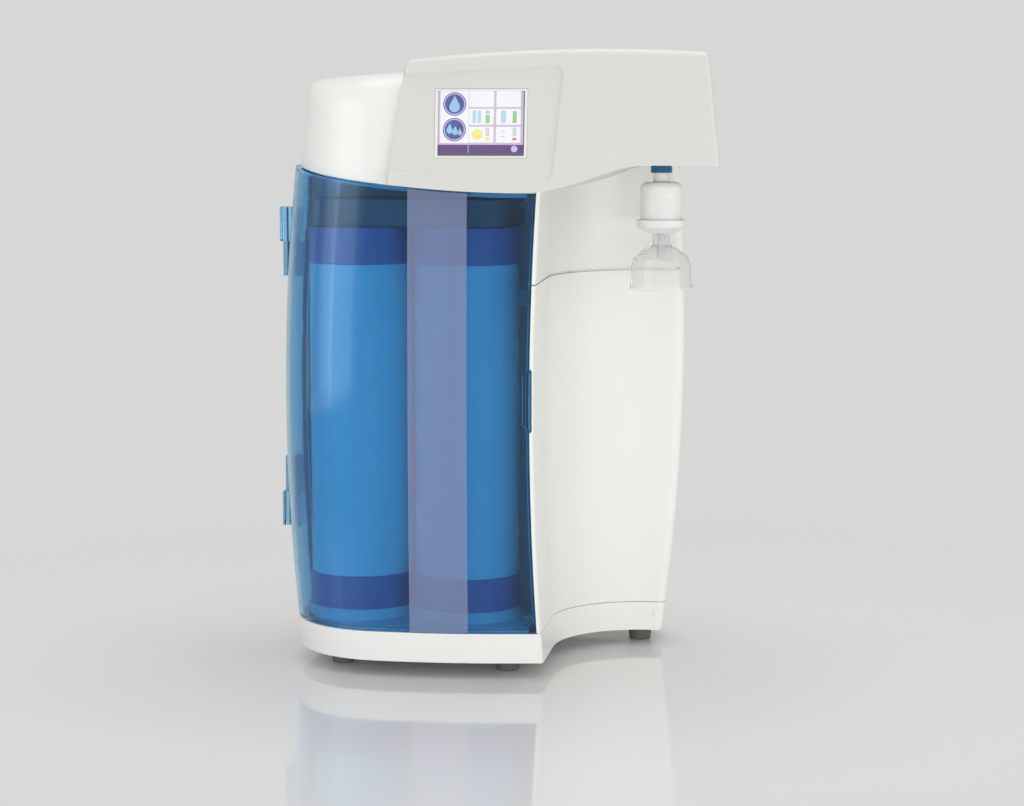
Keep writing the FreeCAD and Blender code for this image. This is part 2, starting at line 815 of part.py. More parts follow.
def rounded_rim(block, thickness):
    """Shoulder with its rim rounded, tighter at the left than elsewhere."""
    document = FreeCAD.newDocument()
    base = document.addObject("Part::Feature", "base")
    base.Shape = block
    rim = document.addObject("Part::Fillet", "rim")
    rim.Base = base
    radii = []
    for number, edge in enumerate(base.Shape.Edges, 1):
        if edge.BoundBox.ZMin > shoulder_top_z - shoulder_height / 2:
            ends = [edge.valueAt(edge.FirstParameter), edge.valueAt(edge.LastParameter)]
            first, last = [rim_radius(end.x) - thickness for end in ends]
            radii.append((number, first, last))
    rim.Edges = radii
    document.recompute()
    shape = rim.Shape.copy()
    FreeCAD.closeDocument(document.Name)
    return shape


def top_cover(head_solid):
    """Rounded shoulder cover, open under the head."""
    shell = shoulder_block(0.0).cut(shoulder_block(wall)).common(shoulder_space)
    return solids_only(shell.cut(head_solid))


# ---- head ----------------------------------------------------------------------------------------------
def head_profile(inset):
    """Front outline of the head as a wire in the XZ plane, moved inward."""
    low = [head_left_low] + head_bottom_curve + [(head_under_start_x, head_under_z)]
    low = [Vec(x, 0, z + inset) for x, z in low]
    low[0] = low[0] + Vec(inset, 0, 0)
    right_low = Vec(head_right_low_x - inset, 0, head_under_z + inset)
    right_top = Vec(head_right_top[0] - inset, 0, head_right_top[1] - inset)
    crown = Vec(head_crown[0], 0, head_crown[1] - inset)
    left_top = Vec(head_left_top[0] + inset, 0, head_left_top[1] - inset)
    curve = Part.BSplineCurve()
    curve.interpolate(low)
    edges = [curve.toShape(), Part.LineSegment(low[-1], right_low).toShape(),
             Part.LineSegment(right_low, right_top).toShape(),
             Part.Arc(right_top, crown, left_top).toShape(),
             Part.LineSegment(left_top, low[0]).toShape()]
    return Part.Wire(edges)


def before_face(depth):
    """Space in front of the tilted head face, taken a depth further back."""
    shift = depth / math.cos(tilt)
    low_y = head_front_y + shift + math.tan(tilt) * (0 - head_low_z)
    high_y = head_front_y + shift + math.tan(tilt) * (2 * FAR - head_low_z)
    points = [(0, -2 * FAR, 0), (0, low_y, 0), (0, high_y, 2 * FAR), (0, -2 * FAR, 2 * FAR)]
    return prism(points, (-FAR, 0, 0), (2 * FAR, 0, 0))


def beside_head(inset):
    """Space to the right of the head's right side, which tapers to the rear."""
    top_x, top_z = head_right_top
    slant = (head_right_low_x - top_x) / (top_z - head_under_z)
    shift = inset * math.hypot(1, head_taper)
    foot_x = head_right_low_x - shift + slant * head_under_z
    head_x = head_right_low_x - shift - slant * (2 * FAR - head_under_z)
    corners = [(foot_x, 0, 0), (2 * FAR, 0, 0), (2 * FAR, 0, 2 * FAR), (head_x, 0, 2 * FAR)]
    length = head_rear_y - head_front_y + 2 * head_blank_reach
    start = (head_taper * head_blank_reach, head_front_y - head_blank_reach, 0)
    return prism(corners, start, (-head_taper * length, length, 0))


def head_block(inset, front_inset, radius, top_radius):
    """Solid of the head, moved inward, with rounded edges."""
    face = Part.Face(head_profile(inset))
    start_y = head_front_y - head_blank_reach
    face.translate(Vec(0, start_y, 0))
    depth = head_rear_y - inset - start_y
    block = face.extrude(Vec(0, depth, 0)).cut(before_face(front_inset)).cut(beside_head(inset))
    block = block.makeFillet(top_radius, [edge for edge in block.Edges if is_brow(edge)])
    upper = [edge for edge in block.Edges if edge.BoundBox.ZMax > head_under_z + head_edge_radius
             and not is_brow(edge)]
    return block.makeFillet(radius, upper)


def is_brow(edge):
    """Whether an edge runs along the rounding over the head's face."""
    bounds = edge.BoundBox
    return bounds.ZMin > display_z and bounds.XLength > display_width and bounds.YMax < 0


def housing_under_head():
    """Space of housing and shoulder inside the head, kept clear of the head's walls."""
    recess = box((top_step_x, -FAR, 0), (FAR, recess_y, head_under_z + wall + plate_thickness + over))
    housing = body_block(-fit_gap, foot_height, shoulder_base_z + fit_gap)
    return housing.fuse(shoulder_block(-fit_gap).cut(recess))


def panel_wire(grow, depth):
    """Outline of the display panel, grown, at a depth behind the head face."""
    corners = [(x - display_x, z - display_z) for x, z in inset_polygon(panel_corners, -grow)]
    wire = rounded_wire(corners, [panel_radius + grow] * len(corners), 0)
    wire.rotate(Vec(0, 0, 0), RIGHT, 90)
    wire.translate(Vec(0, depth, 0))
    return on_face(wire)


def panel_recess():
    """Recess of the display panel, its sides sloping out to the head face."""
    spread = panel_slope * (1 + over / panel_depth)
    return Part.makeLoft([panel_wire(0.0, panel_depth), panel_wire(spread, -over)], True, True)


def on_face(shape):
    """Carry a piece drawn upright about the display centre onto the tilted head face."""
    y = head_front_y + math.tan(tilt) * (display_z - head_low_z)
    placed = shape.copy()
    placed.rotate(Vec(0, 0, 0), RIGHT, -head_tilt)
    placed.translate(Vec(display_x, y, display_z))
    return placed


def face_plate(width, height, front, back):
    """Plate centred on the display between two depths behind the head face."""
    return box((-width / 2, front, -height / 2), (width / 2, back, height / 2))


def head_shell(head_solid):
    """Head cover: hood over the front, with the display window and the underside opening."""
    inner = head_block(wall, head_front_wall, head_edge_radius - wall, head_top_radius - wall)
    shell = head_solid.cut(inner)
    shell = shell.cut(panel_recess())
    window = face_plate(bezel_width + 2 * bezel_clearance, bezel_height + 2 * bezel_clearance,
                        -head_front_wall, head_front_wall + over)
    shell = shell.cut(on_face(window))
    shell = shell.cut(housing_under_head())
    top = head_under_z + wall
    shell = shell.cut(plate_blank(0.0, head_low_z, top))
    return solids_only(shell.cut(plate_blank(-plate_lip - fit_gap, top, top + plate_thickness)))


def plate_blank(shrink, z_low, z_high):
    """Block of the underside plate, narrower by a shrink on each side."""
    high_x = head_right_low_x - head_taper * (plate_rear_y - head_front_y) - plate_margin
    return box((high_x - plate_width + shrink, plate_front_y + shrink, z_low),
               (high_x - shrink, plate_rear_y - shrink, z_high))


def head_underside_plate():
    """Plate that closes the head over the recess and carries the dispense fitting."""
    top = head_under_z + wall
    plate = plate_blank(fit_gap, head_under_z, top)
    lip = plate_blank(-plate_lip, top, top + plate_thickness)
    plate = plate.fuse(lip)
    bore = fitting_neck_radius + fit_gap
    plate = plate.cut(cylinder(bore, dispense_x, dispense_y, head_under_z - over,
                               top + plate_thickness + over))
    return solids_only(plate.cut(body_block(-fit_gap, foot_height, shoulder_base_z + fit_gap)))


# ---- display -------------------------------------------------------------------------------------------
def display_bezel():
    """Frame round the display, flanged behind the head's front wall."""
    front = panel_depth + bezel_setback
    back = head_front_wall + fit_gap
    frame = face_plate(bezel_width, bezel_height, front, back)
    flange = face_plate(bezel_width + 2 * bezel_flange, bezel_height + 2 * bezel_flange,
                        back, back + bezel_flange_thickness)
    opening = face_plate(display_width, display_height, 0, module_back())
    return on_face(frame.fuse(flange).cut(opening))


def glass_depth():
    """Depth of the touch glass behind the head face."""
    return panel_depth + bezel_setback + glass_setback


def touch_glass():
    """Touch glass inside the bezel."""
    width = display_width - 2 * bezel_clearance
    height = display_height - 2 * bezel_clearance
    return on_face(face_plate(width, height, glass_depth(), glass_depth() + glass_thickness))


def module_back():
    """Depth of the back of the display module."""
    return head_front_wall + fit_gap + bezel_flange_thickness + module_thickness


def display_module():
    """Display with its frame behind the bezel and four standoffs for the board."""
    width = display_width - 2 * bezel_clearance
    height = display_height - 2 * bezel_clearance
    start = glass_depth() + glass_thickness
    frame_front = module_back() - module_thickness
    module = face_plate(width, height, start, frame_front)
    wide = bezel_width + 2 * bezel_flange
    tall = bezel_height + 2 * bezel_flange
    module = module.fuse(face_plate(wide, tall, frame_front, module_back()))
    for sx in (-1, 1):
        for sz in (-1, 1):
            place = (sx * (wide / 2 - standoff_inset), module_back(), sz * (tall / 2 - standoff_inset))
            module = module.fuse(rod(standoff_radius, place, standoff_length, BACK))
    return on_face(module)


def control_board():
    """Circuit board with its larger components on the back."""
    front = module_back() + standoff_length
    back = front + board_thickness
    board = face_plate(board_width, board_height, front, back)
    for x, z, w, h, t in board_parts:
        board = board.fuse(box((x - w / 2, back, z - h / 2), (x + w / 2, back + t, z + h / 2)))
    return on_face(board)


# ---- door ----------------------------------------------------------------------------------------------
def door_skin_space():
    """Space that the closed door may fill."""
    low = base_top_z + door_gap
    slab = box((-FAR, -FAR, low), (FAR, FAR, barrel_top_z))
    space = door_zone(door_gap).common(slab).cut(behind_corner(door_flange_depth))
    return space.cut(above_top_curve(door_gap + cover_gap))


def behind_corner(depth):
    """Space beside the recess wall, more than a depth behind the front right corner."""
    wires = []
    for i in range(barrel_sections):
        z = foot_height + (barrel_top_z - foot_height) * i / (barrel_sections - 1)
        x, y = corner_at(z)
        x -= 2 * depth
        y += depth
        points = [Vec(x, y, z), Vec(FAR, y, z), Vec(FAR, FAR, z), Vec(x, FAR, z)]
        wires.append(Part.makePolygon(points + points[:1]))
    return Part.makeLoft(wires, True, False)


def door_flanges(space):
    """Return flanges round the inside of the door."""
    band = outer_block.cut(body_block(door_flange_depth, foot_height, barrel_top_z))
    band = band.common(space)
    low = base_top_z + door_gap + door_flange_wall
    bottom = box((-FAR, -FAR, 0), (FAR, FAR, low))
    top = above_shoulder_line(door_gap + cover_gap + door_flange_wall)
    core = door_zone(door_gap + door_flange_wall).cut(bottom).cut(top)
    return band.cut(core)


def knuckle(z_low, z_high, side, sink):
    """Half hinge: barrel, web and leaf on the front (-1) or rear (+1) side of the axis."""
    barrel = cylinder(knuckle_radius, hinge_x, hinge_y, z_low, z_high)
    web_end = hinge_y + side * web_length
    leaf_end = hinge_y + side * leaf_length
    web_x = (hinge_x - knuckle_radius, hinge_x - knuckle_radius + web_reach + knuckle_radius)
    web = box((web_x[0], min(hinge_y, web_end), z_low), (web_x[1], max(hinge_y, web_end), z_high))
    leaf_start = hinge_y + side * (hinge_pin_radius + door_gap)
    strip = box((-FAR, min(leaf_start, leaf_end), z_low), (0, max(leaf_start, leaf_end), z_high))
    leaf = body_block(-leaf_thickness, foot_height, barrel_top_z).common(strip)
    leaf = leaf.cut(body_block(sink, foot_height, barrel_top_z))
    half = barrel.fuse(web.cut(outer_block)).fuse(leaf)
    bore = hinge_pin_radius + running_clearance
    return half.cut(cylinder(bore, hinge_x, hinge_y, z_low - over, z_high + over))


def hinge_halves():
    """Heights of the door halves and the bracket halves of both hinges."""
    door = [(hinge_upper_z + knuckle_gap / 2, hinge_upper_z + hinge_half_height),
            (hinge_lower_z - hinge_half_height, hinge_lower_z - knuckle_gap / 2)]
    bracket = [(hinge_upper_z - hinge_half_height, hinge_upper_z - knuckle_gap / 2),
               (hinge_lower_z + knuckle_gap / 2, hinge_lower_z + hinge_half_height)]
    return door, bracket


def door_panel():
    """Translucent door with flanges, hinge knuckles, grip and screw bosses."""
    space = door_skin_space()
    skin = outer_block.cut(body_block(door_wall, foot_height, barrel_top_z)).common(space)
    door = skin.fuse(door_flanges(space))
    grip = grip_lens(grip_depth).common(door_zone(door_gap))
    band = body_block(door_wall - melt, foot_height, barrel_top_z)
    band = band.cut(body_block(door_wall + grip_thickness, foot_height, barrel_top_z))
    door = door.fuse(grip.common(band))
    bosses = body_block(door_wall - melt, foot_height, barrel_top_z)
    bosses = bosses.cut(body_block(door_wall + screw_boss_length, foot_height, barrel_top_z))
    rows = (base_top_z + door_gap + screw_boss_inset, top_curve[0][1] - door_gap - screw_boss_inset)
    for z in rows:
        x = corner_at(z)[0] - door_strip - screw_boss_inset
        y = corner_at(z)[1] - screw_boss_length
        post = rod(screw_boss_radius, (x, y, z), 3 * screw_boss_length, BACK)
        door = door.fuse(post.common(bosses))
    for z_low, z_high in hinge_halves()[0]:
        door = door.fuse(knuckle(z_low, z_high, -1, door_wall / 2))
    return solids_only(door)


def door_stripe():
    """Thin frosted band down the front of the door."""
    space = door_skin_space()
    inner = body_block(-fit_gap, foot_height, barrel_top_z)
    film = body_block(-fit_gap - stripe_thickness, foot_height, barrel_top_z).cut(inner)
    strip = box((stripe_left_x, -FAR, 0), (stripe_left_x + stripe_width, 0, FAR * 2))
    return solids_only(film.common(strip).common(space))


def hinge_brackets():
    """Bracket halves on the left side cover."""
    return Part.makeCompound([knuckle(low, high, 1, 0.0) for low, high in hinge_halves()[1]])


def hinge_pins():
    """Pins through both halves of each hinge."""
    pins = []
    for z in (hinge_upper_z, hinge_lower_z):
        pins.append(cylinder(hinge_pin_radius, hinge_x, hinge_y, z - hinge_half_height + over,
                             z + hinge_half_height - over))
    return Part.makeCompound(pins)


# ---- cartridges ----------------------------------------------------------------------------------------
def cartridge_x(index):
    """Axis of a cartridge."""
    return cartridge_left_x + index * cartridge_spacing


def cartridge_levels():
    """Heights of the cartridge: base, lower joint, upper joint, cap top."""
    low = cartridge_base_z + cap_bottom_height
    return cartridge_base_z, low, low + cartridge_body_height, cartridge_top_z


def cartridge_body(index):
    """Tubular cartridge body."""
    base, low, high, top = cartridge_levels()
    x = cartridge_x(index)
    tube = cylinder(cartridge_radius, x, cartridge_y, low, high)
    hollow = cylinder(cartridge_radius - cartridge_wall, x, cartridge_y, low, high)
    return tube.cut(hollow)


def cartridge_bottom_cap(index):
    """Closed lower cap with rounded rims."""
    base, low, high, top = cartridge_levels()
    cap = cylinder(cap_radius, cartridge_x(index), cartridge_y, base, low)
    rims = [edge for edge in cap.Edges if edge.Curve.TypeId == "Part::GeomCircle"]
    return cap.makeFillet(cap_edge_radius, rims)


def cartridge_top_cap(index):
    """Upper cap with the bayonet neck that turns in the manifold."""
    base, low, high, top = cartridge_levels()
    x = cartridge_x(index)
    cap = cylinder(cap_radius, x, cartridge_y, high, top)
    rims = [edge for edge in cap.Edges if edge.Curve.TypeId == "Part::GeomCircle"]
    cap = cap.makeFillet(cap_edge_radius, rims)
    neck = cylinder(cartridge_neck_radius, x, cartridge_y, top - over, top + cartridge_neck_height)
    return cap.fuse(neck)


# ---- cartridge bay -------------------------------------------------------------------------------------
def bay_rear_wall():
    """Wall between the cartridge bay and the works."""
    slab = box((-FAR, bay_wall_y, floor_z), (FAR, bay_wall_y + bay_wall, shoulder_base_z))
    panel = body_block(wall + fit_gap, foot_height, barrel_top_z).common(slab)
    for x in (pump_x, uv_x):
        hole = rod(stub_radius + fit_gap, (x, 0, manifold_z()), FAR, BACK)
        panel = panel.cut(hole)
    return solids_only(panel.cut(above_top_curve(ceiling_drop)))


def bay_ceiling():
    """Ceiling of the bay under the shoulder line."""
    slab = box((-FAR, -FAR, 0), (top_step_x, bay_wall_y, FAR * 2))
    block = body_block(door_flange_depth + cradle_clearance, foot_height, barrel_top_z).common(slab)
    block = block.common(above_top_curve(ceiling_drop + ceiling_thickness))
    return solids_only(block.cut(above_top_curve(ceiling_drop)))


def cartridge_cradle():
    """Bay floor on posts, with a low ring round each cartridge."""
    slab = box((-FAR, -FAR, base_top_z), (FAR, bay_wall_y, base_top_z + cradle_thickness))
    plate = body_block(door_flange_depth + cradle_clearance, foot_height, barrel_top_z).common(slab)
    top = base_top_z + cradle_thickness
    for index in (0, 1):
        x = cartridge_x(index)
        outer = cap_radius + fit_gap + cradle_ring_wall
        plate = plate.fuse(cylinder(outer, x, cartridge_y, top, top + cradle_ring_height))
    for index in (0, 1):
        x = cartridge_x(index)
        seat = cartridge_base_z
        plate = plate.cut(cylinder(cap_radius + fit_gap, x, cartridge_y, seat, seat + cap_bottom_height))
        for y in (cartridge_y - cradle_post_front, cartridge_y + cradle_post_rear):
            plate = plate.fuse(cylinder(cradle_post_radius, x, y, floor_z, base_top_z))
    return solids_only(plate)


def manifold_z():
    """Middle height of the manifold."""
    return cartridge_levels()[3] + manifold_clearance + manifold_height / 2


def cartridge_manifold():
    """Connection block over both cartridges, fixed to the bay's rear wall."""
    top = cartridge_levels()[3]
    low = top + manifold_clearance
    x_low = cartridge_x(0) - cap_radius + manifold_end_inset
    x_high = cartridge_x(1) + cap_radius - manifold_end_inset
    block = box((x_low, cartridge_y - manifold_front, low),
                (x_high, bay_wall_y, low + manifold_height))
    edges = [edge for edge in block.Edges if edge.BoundBox.ZLength > manifold_height / 2]
    front = [edge for edge in edges if edge.BoundBox.YMax < cartridge_y]
    block = block.makeFillet(manifold_corner, front)
    for index in (0, 1):
        neck = cartridge_neck_radius + running_clearance
        socket = cylinder(neck, cartridge_x(index), cartridge_y, low - over,
                          top + cartridge_neck_height + fit_gap)
        block = block.cut(socket)
    for x in (pump_x, uv_x):
        stub = rod(stub_radius, (x, bay_wall_y - over, manifold_z()), bay_wall + stub_reach, BACK)
        block = block.fuse(stub)
    return block


def door_magnet():
    """Magnet of the door catch on the inside of the lower right cover."""
    w, d, h = magnet_size
    x = corner_at(magnet_z)[0] - corner_x + recess_x - wall - fit_gap
    y = corner_at(magnet_z)[1] + door_flange_depth + fit_gap
    return box((x - w, y, magnet_z - h), (x, y + d, magnet_z))


# ---- dispense fitting and capsule filter ---------------------------------------------------------------
def dispense_fitting():
    """Push-fit socket on the underside plate."""
    top_plate = head_under_z + wall + plate_thickness
    foot_top = top_plate + fitting_foot_height
    body = cylinder(fitting_foot_radius, dispense_x, dispense_y, top_plate, foot_top)
    body = body.fuse(cylinder(fitting_radius, dispense_x, dispense_y, foot_top,
                              top_plate + fitting_height))
    low = head_under_z - fitting_neck_length
    body = body.fuse(cylinder(fitting_neck_radius, dispense_x, dispense_y, low, top_plate))
    bore = stem_radius + stem_clearance
    body = body.cut(cylinder(bore, dispense_x, dispense_y, low, top_plate + fitting_socket))
    pocket = stem_radius + 2 * fit_gap + collet_wall
    body = body.cut(cylinder(pocket, dispense_x, dispense_y, low, low + collet_pocket))
    return body.cut(cylinder(tube_bore, dispense_x, dispense_y, low, top_plate + fitting_height))


def dispense_collet():
    """Release ring under the fitting."""
    high = head_under_z - fitting_neck_length - collet_gap
    bore = stem_radius + fit_gap
    lip = cylinder(collet_radius, dispense_x, dispense_y, high - collet_length, high)
    sleeve_top = high + collet_pocket - fit_gap
    sleeve = cylinder(bore + collet_wall, dispense_x, dispense_y, high, sleeve_top)
    collet = lip.fuse(sleeve)
    return collet.cut(cylinder(bore, dispense_x, dispense_y, high - collet_length, sleeve_top))


def capsule_body():
    """Stem, cap, body and flange of the capsule filter."""
    flange = capsule_shoulder_z - capsule_height
    top_plate = head_under_z + wall + plate_thickness
    stem_top = top_plate + fitting_socket - over
    taper = flange - capsule_flange_height - capsule_taper_height
    tip = flange - capsule_flange_height - capsule_nozzle_height
    profile = [
        (0, stem_top),
        (stem_radius, stem_top),
        (stem_radius, capsule_shoulder_z),
        (capsule_radius, capsule_shoulder_z),
        (capsule_radius, flange),
        (capsule_flange_radius, flange),
        (capsule_flange_radius, flange - capsule_flange_height),
        (capsule_taper_radius, taper),
        (capsule_nozzle_radius, taper),
        (capsule_nozzle_radius, tip),
        (capsule_nozzle_bore, tip),
        (capsule_nozzle_bore, taper),
        (0, taper),
    ]
    body = revolve(profile, dispense_x, dispense_y)
    shoulder = [edge for edge in body.Edges if edge.BoundBox.ZMin > flange + capsule_height / 2
                and edge.BoundBox.XLength > 2 * capsule_radius - over]
    return body.makeFillet(capsule_round, shoulder)


def bell_inner():
    """Inner profile of the bell, its outer profile moved inward by the wall."""
    moved = []
    last = len(bell_curve) - 1
    for i, (radius, depth) in enumerate(bell_curve):
        ahead = bell_curve[min(i + 1, last)]
        back = bell_curve[max(i - 1, 0)]
        run = math.hypot(ahead[0] - back[0], ahead[1] - back[1])
        across = (ahead[1] - back[1]) / run
        down = (ahead[0] - back[0]) / run
        moved.append((radius - bell_wall * across, depth + bell_wall * down))
    moved[0] = (moved[0][0], bell_curve[0][1])
    moved[-1] = (moved[-1][0], bell_curve[-1][1])
    return moved


def capsule_bell():
    """Clear bell below the capsule, with a low rim."""
    top = capsule_shoulder_z - capsule_height - capsule_flange_height - capsule_taper_height
    radius, depth = bell_curve[-1]
    outer = [(r, top - d) for r, d in bell_curve[:-1]]
    rim = [(radius, top - depth + bell_rim_height),
           (radius + bell_rim_width, top - depth + bell_rim_height),
           (radius + bell_rim_width, top - depth)]
    inner = [(r, top - d) for r, d in reversed(bell_inner())]
    return revolve(outer + rim + inner, dispense_x, dispense_y)


# ---- works ----------------------------------------------------------------------------------------------
def power_supply():
    """Enclosed power supply on the tray."""
    x, y = supply_x, supply_y
    w, d, h = supply_size
    case = box((x, y, floor_z), (x + w, y + d, floor_z + h))
    edges = [edge for edge in case.Edges if edge.BoundBox.ZLength > h / 2]
    case = case.makeFillet(supply_edge, edges)
    for i in range(vent_count):
        z = floor_z + vent_start + i * vent_pitch
        case = case.cut(box((x + vent_margin, y - over, z),
                            (x + w - vent_margin, y + vent_depth, z + vent_height)))
    return case


def pump_bracket():
    """Plate under the pump with rubber pads."""
    half = pump_plate / 2
    plate = box((pump_x - half, pump_y - half, floor_z),
                (pump_x + half, pump_y + half, floor_z + pump_plate_thickness))
    edges = [edge for edge in plate.Edges if edge.BoundBox.ZLength > pump_plate_thickness / 2]
    return plate.makeFillet(pump_plate_corner, edges)


def pump_levels():
    """Heights of the motor foot, the motor top and the pump head top."""
    foot = floor_z + pump_plate_thickness
    return foot, foot + motor_height, foot + motor_height + pump_head_height


def pump_motor():
    """Motor with cooling grooves and a blind bore for the pump shaft."""
    foot, top, _ = pump_levels()
    motor = cylinder(motor_radius, pump_x, pump_y, foot, top)
    for i in range(groove_count):
        z = foot + groove_start + i * groove_pitch
        groove = ring(motor_radius + over, motor_radius - groove_depth, pump_x, pump_y, z,
                      z + groove_width)
        motor = motor.cut(groove)
    bore = shaft_radius + running_clearance
    return motor.cut(cylinder(bore, pump_x, pump_y, top - shaft_depth - fit_gap, top))


def pump_chamber():
    """Heights of the impeller chamber."""
    low = pump_levels()[1] + pump_head_floor
    return low, low + impeller_height + 2 * impeller_clearance


def pump_head():
    """Pump head with chamber, inlet on top and outlet at the side."""
    _, top, high = pump_levels()
    head = cylinder(pump_head_radius, pump_x, pump_y, top, high)
    low, roof = pump_chamber()
    chamber = impeller_radius + impeller_clearance
    boss_top = high + pump_boss_height
    side = (pump_x, pump_y - pump_head_radius, high - pump_outlet_drop)
    head = head.fuse(cylinder(boss_radius, pump_x, pump_y, high, boss_top))
    stub = rod(boss_radius, (pump_x, pump_y, side[2]), pump_head_radius + pump_boss_reach, -BACK)
    head = head.fuse(stub)
    head = head.cut(cylinder(chamber, pump_x, pump_y, low, roof))
    head = head.cut(cylinder(shaft_radius + fit_gap, pump_x, pump_y, top, low))
    head = head.cut(cylinder(tube_radius + fit_gap, pump_x, pump_y, high, boss_top))
    return head.cut(rod(tube_radius + fit_gap, side, pump_boss_reach, -BACK))


def pump_rotor():
    """Impeller on its shaft."""
    top = pump_levels()[1]
    low, roof = pump_chamber()
    shaft = cylinder(shaft_radius, pump_x, pump_y, top - shaft_depth, low + impeller_clearance + over)
    start = low + impeller_clearance
    disc = cylinder(impeller_radius, pump_x, pump_y, start, start + impeller_disc)
    half = blade_thickness / 2
    for i in range(impeller_blades):
        blade = box((shaft_radius, -half, start + impeller_disc / 2),
                    (impeller_radius - over, half, start + impeller_height))
        blade.rotate(Vec(0, 0, 0), UP, 360.0 / impeller_blades * i)
        blade.translate(Vec(pump_x, pump_y, 0))
        disc = disc.fuse(blade)
    hub = cylinder(hub_radius, pump_x, pump_y, start, start + impeller_height)
    return disc.fuse(hub).fuse(shaft)


def uv_boss_levels():
    """Heights of the reactor's two hose bosses."""
    inset = uv_cap + uv_boss_inset
    return floor_z + inset, floor_z + uv_height - inset


def uv_chamber():
    """Stainless tube of the ultraviolet reactor with end caps."""
    top = floor_z + uv_height
    tube = cylinder(uv_radius, uv_x, uv_y, floor_z, top)
    tube = tube.cut(cylinder(uv_radius - uv_wall, uv_x, uv_y, floor_z + uv_cap, top - uv_cap))
    bore = lamp_radius + running_clearance
    tube = tube.cut(cylinder(bore, uv_x, uv_y, top - uv_cap - over, top))
    for z in uv_boss_levels():
        boss = rod(boss_radius, (uv_x, uv_y - uv_radius + uv_wall, z), uv_boss_reach + uv_wall, -BACK)
        boss = boss.cut(rod(tube_radius + fit_gap, (uv_x, uv_y - uv_radius, z), uv_boss_reach, -BACK))
        tube = tube.fuse(boss)
    return tube


def uv_lamp():
    """Quartz lamp with its ceramic head on the reactor's upper cap."""
    top = floor_z + uv_height
    lamp = cylinder(lamp_radius, uv_x, uv_y, floor_z + uv_cap + lamp_rest, top)
    return lamp.fuse(cylinder(lamp_head_radius, uv_x, uv_y, top, top + lamp_head_height))


def ultrafilter_module():
    """Hollow fibre ultrafilter with two end caps."""
    top = floor_z + filter_height
    body = cylinder(filter_radius, filter_x, filter_y, floor_z, top)
    rim = filter_radius + filter_cap_extra
    for low in (floor_z, top - filter_cap_height):
        body = body.fuse(cylinder(rim, filter_x, filter_y, low, low + filter_cap_height))
    boss_top = top + filter_boss_height
    body = body.fuse(cylinder(boss_radius, filter_x, filter_y, top, boss_top))
    return body.cut(cylinder(tube_radius + fit_gap, filter_x, filter_y, top, boss_top))


def valve(x, y, z):
    """Solenoid valve: block, coil and the bore of its plunger."""
    half_w = valve_width / 2
    half_d = valve_depth / 2
    block = box((x - half_w, y - half_d, z), (x + half_w, y + half_d, z + valve_height))
    top = z + valve_height
    block = block.fuse(cylinder(coil_radius, x, y, top, top + coil_height))
    roof = valve_plunger_z(z) + plunger_height + plunger_lift + spring_room()
    bore = plunger_radius + plunger_clearance
    return block.cut(cylinder(bore, x, y, valve_plunger_z(z) - fit_gap, roof))


def spring_room():
    """Length left for the spring over a lifted plunger."""
    return spring_turns * 2 * spring_wire + spring_gap


def valve_plunger_z(z):
    """Height of a closed plunger's foot."""
    return z + plunger_seat


def plunger(x, y, z):
    """Steel plunger on its seat."""
    low = valve_plunger_z(z)
    return cylinder(plunger_radius, x, y, low, low + plunger_height)


def valve_spring(x, y, z):
    """Coil spring between plunger and coil roof."""
    low = valve_plunger_z(z) + plunger_height + spring_wire + spring_seat
    free = plunger_lift + spring_room() - 2 * (spring_wire + spring_seat)
    radius = plunger_radius - 2 * spring_wire
    helix = Part.makeHelix(free / spring_turns, free, radius)
    profile = Part.Wire(Part.makeCircle(spring_wire, Vec(radius, 0, 0), BACK))
    coil = Part.Wire(helix).makePipeShell([profile], True, True)
    coil.translate(Vec(x, y, low))
    return coil


def conductivity_cell():
    """Cell that measures the water over the dispense fitting."""
    low = head_under_z + wall + plate_thickness + fitting_height
    body = cylinder(cell_radius, dispense_x, dispense_y, low, low + cell_height)
    top = low + cell_height
    return body.fuse(cylinder(cell_pin_radius, dispense_x, dispense_y, top, top + cell_pin_height))


# ---- rear connections -----------------------------------------------------------------------------------
def port(x, tube):
    """Bulkhead push-fit port with its nut, along +Y."""
    mouth = rear_y + port_reach
    inside = rear_y - wall - port_inside
    body = rod(port_body_radius, (x, inside, port_z), mouth - inside, BACK)
    body = body.fuse(hexagon(x, rear_y, port_nut_height))
    bore = tube + port_clearance
    pocket = bore + collet_wall + fit_gap
    body = body.cut(rod(pocket, (x, mouth - collet_pocket, port_z), collet_pocket, BACK))
    start = mouth - collet_pocket - port_socket_length
    body = body.cut(rod(bore, (x, start, port_z), port_socket_length, BACK))
    return body.cut(rod(tube_bore, (x, inside, port_z), start - inside, BACK))


def hexagon(x, y, height):
    """Hexagonal nut about a port, standing on the rear panel."""
    points = []
    for i in range(6):
        turn = math.radians(60.0 * i)
        points.append((x + port_nut_radius * math.cos(turn), y,
                       port_z + port_nut_radius * math.sin(turn)))
    return prism(points, (0, 0, 0), (0, height, 0))


def port_collet(x, tube):
    """Release collet of a port."""
    mouth = rear_y + port_reach
    bore = tube + port_clearance
    sleeve_end = mouth - collet_pocket + collet_travel + fit_gap
    length = mouth + port_collet_reach - sleeve_end
    sleeve = rod(bore + collet_wall, (x, sleeve_end, port_z), length, BACK)
    flange_y = mouth + port_collet_reach - port_collet_flange
    flange = rod(bore + collet_wall + port_collet_lip, (x, flange_y, port_z), port_collet_flange,
                 BACK)
    return sleeve.fuse(flange).cut(rod(bore, (x, 0, port_z), FAR, BACK))


def inlet_levels():
    """Heights of the socket, the fuse drawer and the switch in the power inlet."""
    socket_z = inlet_z - inlet_height / 2 + inlet_margin + socket_height / 2
    drawer_z = socket_z + (socket_height + drawer_slot) / 2 + inlet_bar
    return socket_z, drawer_z, drawer_z + (drawer_slot + rocker_slot) / 2 + inlet_bar


